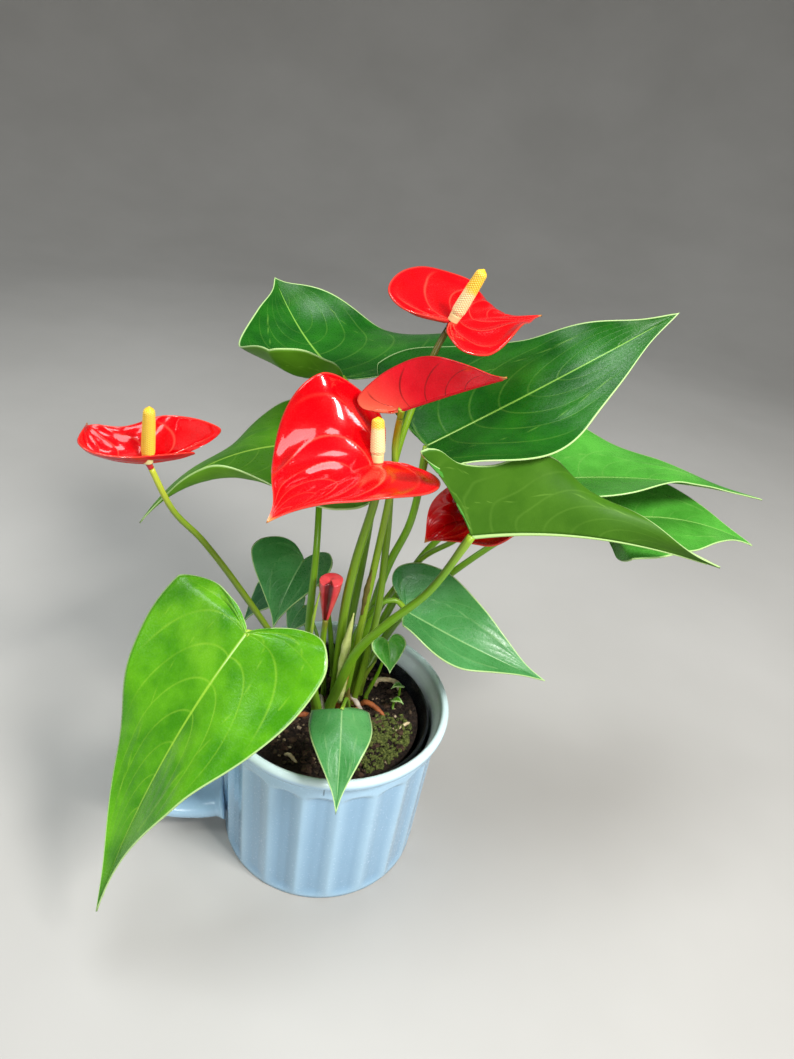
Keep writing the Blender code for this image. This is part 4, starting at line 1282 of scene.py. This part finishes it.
def handle_mesh(materials):
    """The ear handle: an oval section swept along its route, flaring into the wall."""
    steps = 90
    route = spline([(r * MM, 0, z * MM) for r, z in HANDLE_ROUTE], steps)
    across = Vector((0, 1, 0))
    heading = Matrix.Rotation(HANDLE_HEADING, 3, "Z")

    def squared(share, size):
        """A cosine or sine made a little squarer, times half a size in mm."""
        return math.copysign(abs(share) ** 0.85, share) * size / 2 * MM

    def place(u, v):
        row = min(max(round(v * (steps + 2)) - 1, 0), steps)
        centre = route[row]
        if v == 0 or v == 1:
            return heading @ centre
        ahead = (route[min(row + 1, steps)] - route[max(row - 1, 0)]).normalized()
        outward = across.cross(ahead)
        ends = abs(2 * row / steps - 1)
        flare = 1 + 0.15 * ends ** 3 + 0.22 * smooth(0.93, 1.0, ends)
        turn = 2 * math.pi * u
        wide = squared(math.cos(turn), HANDLE_WIDTH) * flare
        thick = squared(math.sin(turn), HANDLE_THICKNESS) * flare
        return heading @ (centre + across * wide + outward * thick)

    return bent_grid("handle", 40, steps + 2, place, materials)


print("wall and handle ready")

# %% [markdown]
# Glaze runs off edges and pools in hollows. The wall carries a measure of how deep in a
# flute each point lies, and the finish is darker there, as pooled glaze and as painted
# shade. Height alone tells it where the rim is pale, from thin glaze and painted light, and
# where the foot is bare clay.

# %% Glaze
# Near white on the rim: thin glaze, made lighter still as painted light
RIM_GLAZE_AND_LIGHT = (0.66, 0.84, 0.86)
# Darker blue in the flute hollows: glaze that pools there, and painted shade
POOLED_GLAZE_AND_SHADE = (0.23, 0.41, 0.60)
BARE_CLAY = (0.62, 0.55, 0.46)
SEAM_DARK = (0.05, 0.09, 0.14)
SEAM_ANGLE = math.radians(-85.5)


def glaze(name, deep, bright, seam_share):
    """Pale blue glaze: darker in the hollows as pooled glaze and painted shade, near white on the rim as thin
    glaze and painted light, with the mould's short seam.
    """
    surface, n, shader = finish(name, 0.2, coat=0.4, coat_roughness=0.06)
    x, y, height = n.split(n.place())
    soft = mottle(n, 40.0, 0.3, 0.7)
    color = n.mix(soft["Mask"], deep, bright)
    # Painted shade and pooled glaze, by how deep in a flute a point lies
    color = n.mix(n.band(n.measure("pooled_and_shaded"), 0.0, 1.0, 0.0, 0.75), color, POOLED_GLAZE_AND_SHADE)
    color = n.mix(n.band(height, 0.1075, 0.1105), color, RIM_GLAZE_AND_LIGHT)
    color = n.mix(n.band(height, 0.0006, 0.0002), color, BARE_CLAY)
    seam_off = n.math("ABSOLUTE", n.math("SUBTRACT", n.math("ARCTAN2", y, x), SEAM_ANGLE))
    seam = n.math("MULTIPLY", n.band(seam_off, 0.009, 0.003), n.band(height, 0.0965, 0.0985))
    seam = n.math("MULTIPLY", seam, n.band(height, 0.108, 0.106))
    paint(n, shader, n.over(color, seam, seam_share, SEAM_DARK))
    uneven_gloss(n, shader, soft["Grain"], 0.16, 0.28)
    bump(n, shader, n.noise(n.place(), 90.0, 2.0), 0.5 * MM, 0.25)
    return surface


SKY_GLAZE = glaze("sky_glaze", (0.37, 0.58, 0.76), (0.41, 0.63, 0.81), 0.7)
# The inside is thin glaze, its colour made lighter as painted light
THIN_GLAZE_AND_LIGHT = glaze("sky_glaze_inside", (0.66, 0.77, 0.81), (0.74, 0.83, 0.86), 0.0)
wall_mesh = turned("wall", pot_profile(), POT_SIDES, [SKY_GLAZE], flute)
# How deep in a flute each point lies, which the glaze paints as pooling and shade
pooled_and_shaded = wall_mesh.attributes.new("pooled_and_shaded", "FLOAT", "POINT")
for vert in wall_mesh.vertices:
    reach = math.hypot(vert.co.x, vert.co.y) / MM
    if reach > FOOT_RADIUS - 3 and vert.co.z < BAND_BOTTOM * MM:
        pooled_and_shaded.data[vert.index].value = flute(math.atan2(vert.co.y, vert.co.x), vert.co.z / MM) / FLUTE_DEPTH
for face in wall_mesh.polygons:
    outward = face.center.x * face.normal.x + face.center.y * face.normal.y
    height = face.center.z / MM
    if height > 6 and (outward < 0 or height < 20 and face.normal.z > 0.5):
        face.material_index = 1
pot_mesh = joined("mug_pot", [(wall_mesh, 0), (handle_mesh([SKY_GLAZE]), 0)], (SKY_GLAZE, THIN_GLAZE_AND_LIGHT))
show("dressed_mug_pot", pot_mesh, "sky_glaze", "mug_pot")
print("mug pot faces:", len(pot_mesh.polygons))

# %% [markdown]
# ## Nursery pot and soil
#
# The plant was never taken out of its nursery pot, a thin black plastic tub with a
# rolled lip. Only the lip shows, and it shines. The soil has three sizes of detail: the
# surface rises and falls, crumbs and bark chips lie on it, and moss grows at the right.

# %% Nursery pot
# From under the foot up the outside, over the lip and down the inside to the floor
NURSERY_PROFILE = ((0, 7.3), (30, 7.3), (42.4, 7.3), (43, 7.9), (57.3, 93), (57.6, 94.2), (59.6, 94.2),
                   (60, 94.8), (60, 99.4), (59.7, 100.4), (59.1, 101), (58.6, 100.8), (58.2, 100),
                   (57.4, 97), (56, 92), (41.8, 9.2), (41, 8.8), (30, 8.8), (0, 8.8))


def black_plastic():
    surface, n, shader = finish("black_plastic", 0.25)
    soft = mottle(n, 120.0)
    paint(n, shader, n.mix(soft["Mask"], (0.006, 0.007, 0.009), (0.016, 0.018, 0.022)))
    uneven_gloss(n, shader, soft["Grain"], 0.2, 0.38)
    bump(n, shader, soft["Grain"], 0.1 * MM, 0.3)
    return surface


nursery = turned("nursery_pot", NURSERY_PROFILE, 160, [black_plastic()])
show("dressed_nursery_pot", nursery, "black_plastic", "nursery_pot")
print("nursery pot faces:", len(nursery.polygons))

# %% Soil
SOIL_BUMP = 0.7
SOIL_LUMPS = 0.45
SOIL_GRAIN = 0.3
SOIL_SIDE = 53.9
SOIL_RINGS = 60
SOIL_PROFILE = [(0, 9.1), (30, 9.1), (40.6, 9.1), (53.5, 89.5)]


def soil_level(x, y):
    """Height of the soil in mm at a place in mm: the frame's own waves and finer lumps."""
    wave = math.sin(0.19 * x + 1.1) * math.cos(0.16 * y - 0.6) + 0.6 * math.sin(0.33 * x - 0.27 * y)
    lumps = math.sin(0.9 * x + 0.4 * y) * math.sin(0.8 * y - 0.5 * x + 1.0)
    grain = math.sin(2.1 * x - 1.3 * y) * math.cos(1.9 * y + 0.8 * x)
    return SOIL_TOP + SOIL_BUMP * wave + SOIL_LUMPS * lumps + SOIL_GRAIN * grain


def earth_finish(name, dark, light, scale=500.0):
    surface, n, shader = finish(name, 0.85, specular=0.3)
    soft = mottle(n, scale)
    paint(n, shader, n.mix(soft["Mask"], dark, light))
    bump(n, shader, soft["Mask"], 1.0 * MM, 0.8)
    return surface


EARTH = earth_finish("soil_dark", (0.008, 0.005, 0.004), (0.035, 0.020, 0.013))
SOIL_ROWS = len(SOIL_PROFILE) + SOIL_RINGS


def soil_place(u, v):
    """Up the hidden side first, then ring by ring over the top to its middle."""
    row = round(v * SOIL_ROWS)
    if row < len(SOIL_PROFILE):
        radius, height = SOIL_PROFILE[row]
    else:
        radius, height = SOIL_SIDE * (1 - (row - len(SOIL_PROFILE)) / SOIL_RINGS), None
    x, y = radius * math.cos(2 * math.pi * u), radius * math.sin(2 * math.pi * u)
    return Vector((x, y, soil_level(x, y) if height is None else height)) * MM


soil_mesh = bent_grid("soil", 200, SOIL_ROWS, soil_place, [EARTH])
show("dressed_soil", soil_mesh, "potting_soil", "soil")
print("soil faces:", len(soil_mesh.polygons))

# %% [markdown]
# Crumbs, chips and moss are scattered by a seeded draw, so every run gives the same
# soil. Each is a small icosphere, squashed, turned and set half into the surface. They
# are one piece for each kind, so that each kind has its own finish.

# %% Crumbs, bark and moss
LUMP_ROUGHNESS = 0.1  # of its size, by which each corner of a lump is off
LUMP_TILT = 0.6
SOIL_REACH = 50
MOSS_REACH = 51
MOSS_AT = (36, -20)
MOSS_SIZE = (22, 24)


def scatter(name, seed, count, spot, size, flat, surface):
    """Seeded lumps on the soil. spot(draw) gives x and y in mm, size is (low, high) in mm."""
    draw = random.Random(seed)
    bm = bmesh.new()
    for _ in range(count):
        x, y = spot(draw)
        scale = draw.uniform(*size)
        shape = Vector((1, draw.uniform(0.5, 1.0), draw.uniform(*flat)))
        turn = Matrix.Rotation(draw.uniform(0, 2 * math.pi), 4, "Z")
        angle = draw.uniform(-LUMP_TILT, LUMP_TILT)
        tilt = Matrix.Rotation(angle, 4, Vector((draw.random(), draw.random(), 0.1)).normalized())
        move = Matrix.Translation(Vector((x, y, soil_level(x, y) + 0.25 * scale * shape.z)) * MM)
        grow = Matrix.Diagonal((*(shape * scale * MM), 1.0))
        made = bmesh.ops.create_icosphere(bm, subdivisions=1, radius=1.0, matrix=move @ turn @ tilt @ grow)
        for vert in made["verts"]:
            off = Vector((draw.gauss(0, 1), draw.gauss(0, 1), draw.gauss(0, 1)))
            vert.co += off * LUMP_ROUGHNESS * scale * MM
    show(name, mesh_from(bm, name, [surface]), "potting_soil")


def on_soil(draw, reach=SOIL_REACH):
    while True:
        x, y = draw.uniform(-reach, reach), draw.uniform(-reach, reach)
        if math.hypot(x, y) < reach:
            return x, y


def on_moss(draw):
    """A place in the mossy patch, which has a ragged edge."""
    while True:
        x, y = on_soil(draw, MOSS_REACH)
        off = math.hypot((x - MOSS_AT[0]) / MOSS_SIZE[0], (y - MOSS_AT[1]) / MOSS_SIZE[1])
        if off < 1 + 0.3 * math.sin(0.7 * x) * math.cos(0.6 * y):
            return x, y


BROWN = earth_finish("soil_brown", (0.035, 0.024, 0.014), (0.11, 0.075, 0.045))
BARK = earth_finish("bark_chips", (0.025, 0.014, 0.009), (0.09, 0.05, 0.03), 260.0)
PALE = earth_finish("pale_chips", (0.28, 0.20, 0.11), (0.55, 0.45, 0.30))
MOSS = earth_finish("moss_olive", (0.035, 0.055, 0.01), (0.17, 0.20, 0.045), 700.0)
scatter("soil_crumbs", 11, 1500, on_soil, (0.5, 1.8), (0.4, 0.9), EARTH)
scatter("soil_bits", 12, 420, on_soil, (0.5, 1.9), (0.3, 0.7), BROWN)
scatter("bark_chips", 13, 150, on_soil, (2.0, 4.4), (0.2, 0.45), BARK)
scatter("pale_chips", 14, 190, on_soil, (0.5, 1.9), (0.25, 0.6), PALE)
scatter("moss_cushions", 15, 520, on_moss, (0.3, 2.6), (0.4, 0.9), MOSS)
print("soil pieces placed")

# %% [markdown]
# ## Stage, light and camera
#
# The stage is a wide pale dish that curves up all round, so no horizon shows from any
# side. The key light hangs high at the right and in front, so the shadow falls to the
# left. Three weaker and wider ones fill in from the front, from above and from the left.
# The camera stands where the circles of the mug pot's rim and foot look as they should.

# %% Stage
FLOOR_RADIUS = 1400
STAGE_CURVE = 1200
STAGE_PROFILE = [(r, 0) for r in (0, 400, 900, FLOOR_RADIUS)]
for degrees in range(6, 85, 6):
    slope = math.radians(degrees)
    STAGE_PROFILE.append((FLOOR_RADIUS + STAGE_CURVE * math.sin(slope), STAGE_CURVE * (1 - math.cos(slope))))
STAGE_PROFILE.append((2620, 2200))


def stage_paper():
    surface, n, shader = finish("stage_paper", 0.9, specular=0.1)
    paint(n, shader, n.mix(mottle(n, 3.0)["Mask"], (0.42, 0.41, 0.39), (0.46, 0.45, 0.43)))
    return surface


stage = new_object("stage", turned("stage", STAGE_PROFILE, 96, [stage_paper()]))
stage.data.flip_normals()

# %% Light
# Name, place in metres, size in metres, power in watts and colour
LIGHTS = (
    ("key", (0.72, -0.50, 1.20), 0.35, 22.0, (1.0, 0.98, 0.95)),
    ("front", (0.35, -1.20, 0.75), 0.5, 7.0, (1.0, 0.99, 0.97)),
    ("top", (-0.10, 0.10, 1.50), 0.55, 9.0, (0.93, 0.98, 1.0)),
    ("left", (-0.85, -0.15, 1.05), 0.6, 7.0, (0.93, 0.98, 1.0)),
)
LIT_POINT = Vector((0.02, 0, 0.18))
WORLD_COLOR = (0.80, 0.86, 0.92, 1.0)
WORLD_STRENGTH = 0.10
for light_name, spot_at, size, power, color in LIGHTS:
    lamp = bpy.data.lights.new(light_name, "AREA")
    lamp.shape = "SQUARE"
    lamp.size = size
    lamp.energy = power
    lamp.color = color
    holder = bpy.data.objects.new(light_name, lamp)
    holder.location = spot_at
    aim = LIT_POINT - Vector(spot_at)
    holder.rotation_euler = aim.to_track_quat("-Z", "Y").to_euler()
    bpy.context.scene.collection.objects.link(holder)
world = bpy.data.worlds.new("studio")
world.use_nodes = True
world.node_tree.nodes["Background"].inputs["Color"].default_value = WORLD_COLOR
world.node_tree.nodes["Background"].inputs["Strength"].default_value = WORLD_STRENGTH
bpy.context.scene.world = world
bpy.context.scene.view_settings.view_transform = "Standard"
print("lights:", [light[0] for light in LIGHTS])

# %% Camera
CAMERA_AT = (0.0218, -0.3495, 0.4389)
PITCH = math.radians(30.57)  # downwards
ROLL = math.radians(9.106)
LENS = 26.0
SENSOR_HEIGHT = 36.0
camera_data = bpy.data.cameras.new("camera")
camera_data.sensor_fit = "VERTICAL"
camera_data.sensor_height = SENSOR_HEIGHT
camera_data.lens = LENS
camera = bpy.data.objects.new("camera", camera_data)
camera.matrix_world = (Matrix.Translation(CAMERA_AT) @ Matrix.Rotation(math.pi / 2 - PITCH, 4, "X")
                       @ Matrix.Rotation(ROLL, 4, "Z"))
bpy.context.scene.collection.objects.link(camera)
bpy.context.scene.camera = camera
print("camera at", CAMERA_AT)

# %% Finish
bpy.context.view_layer.update()
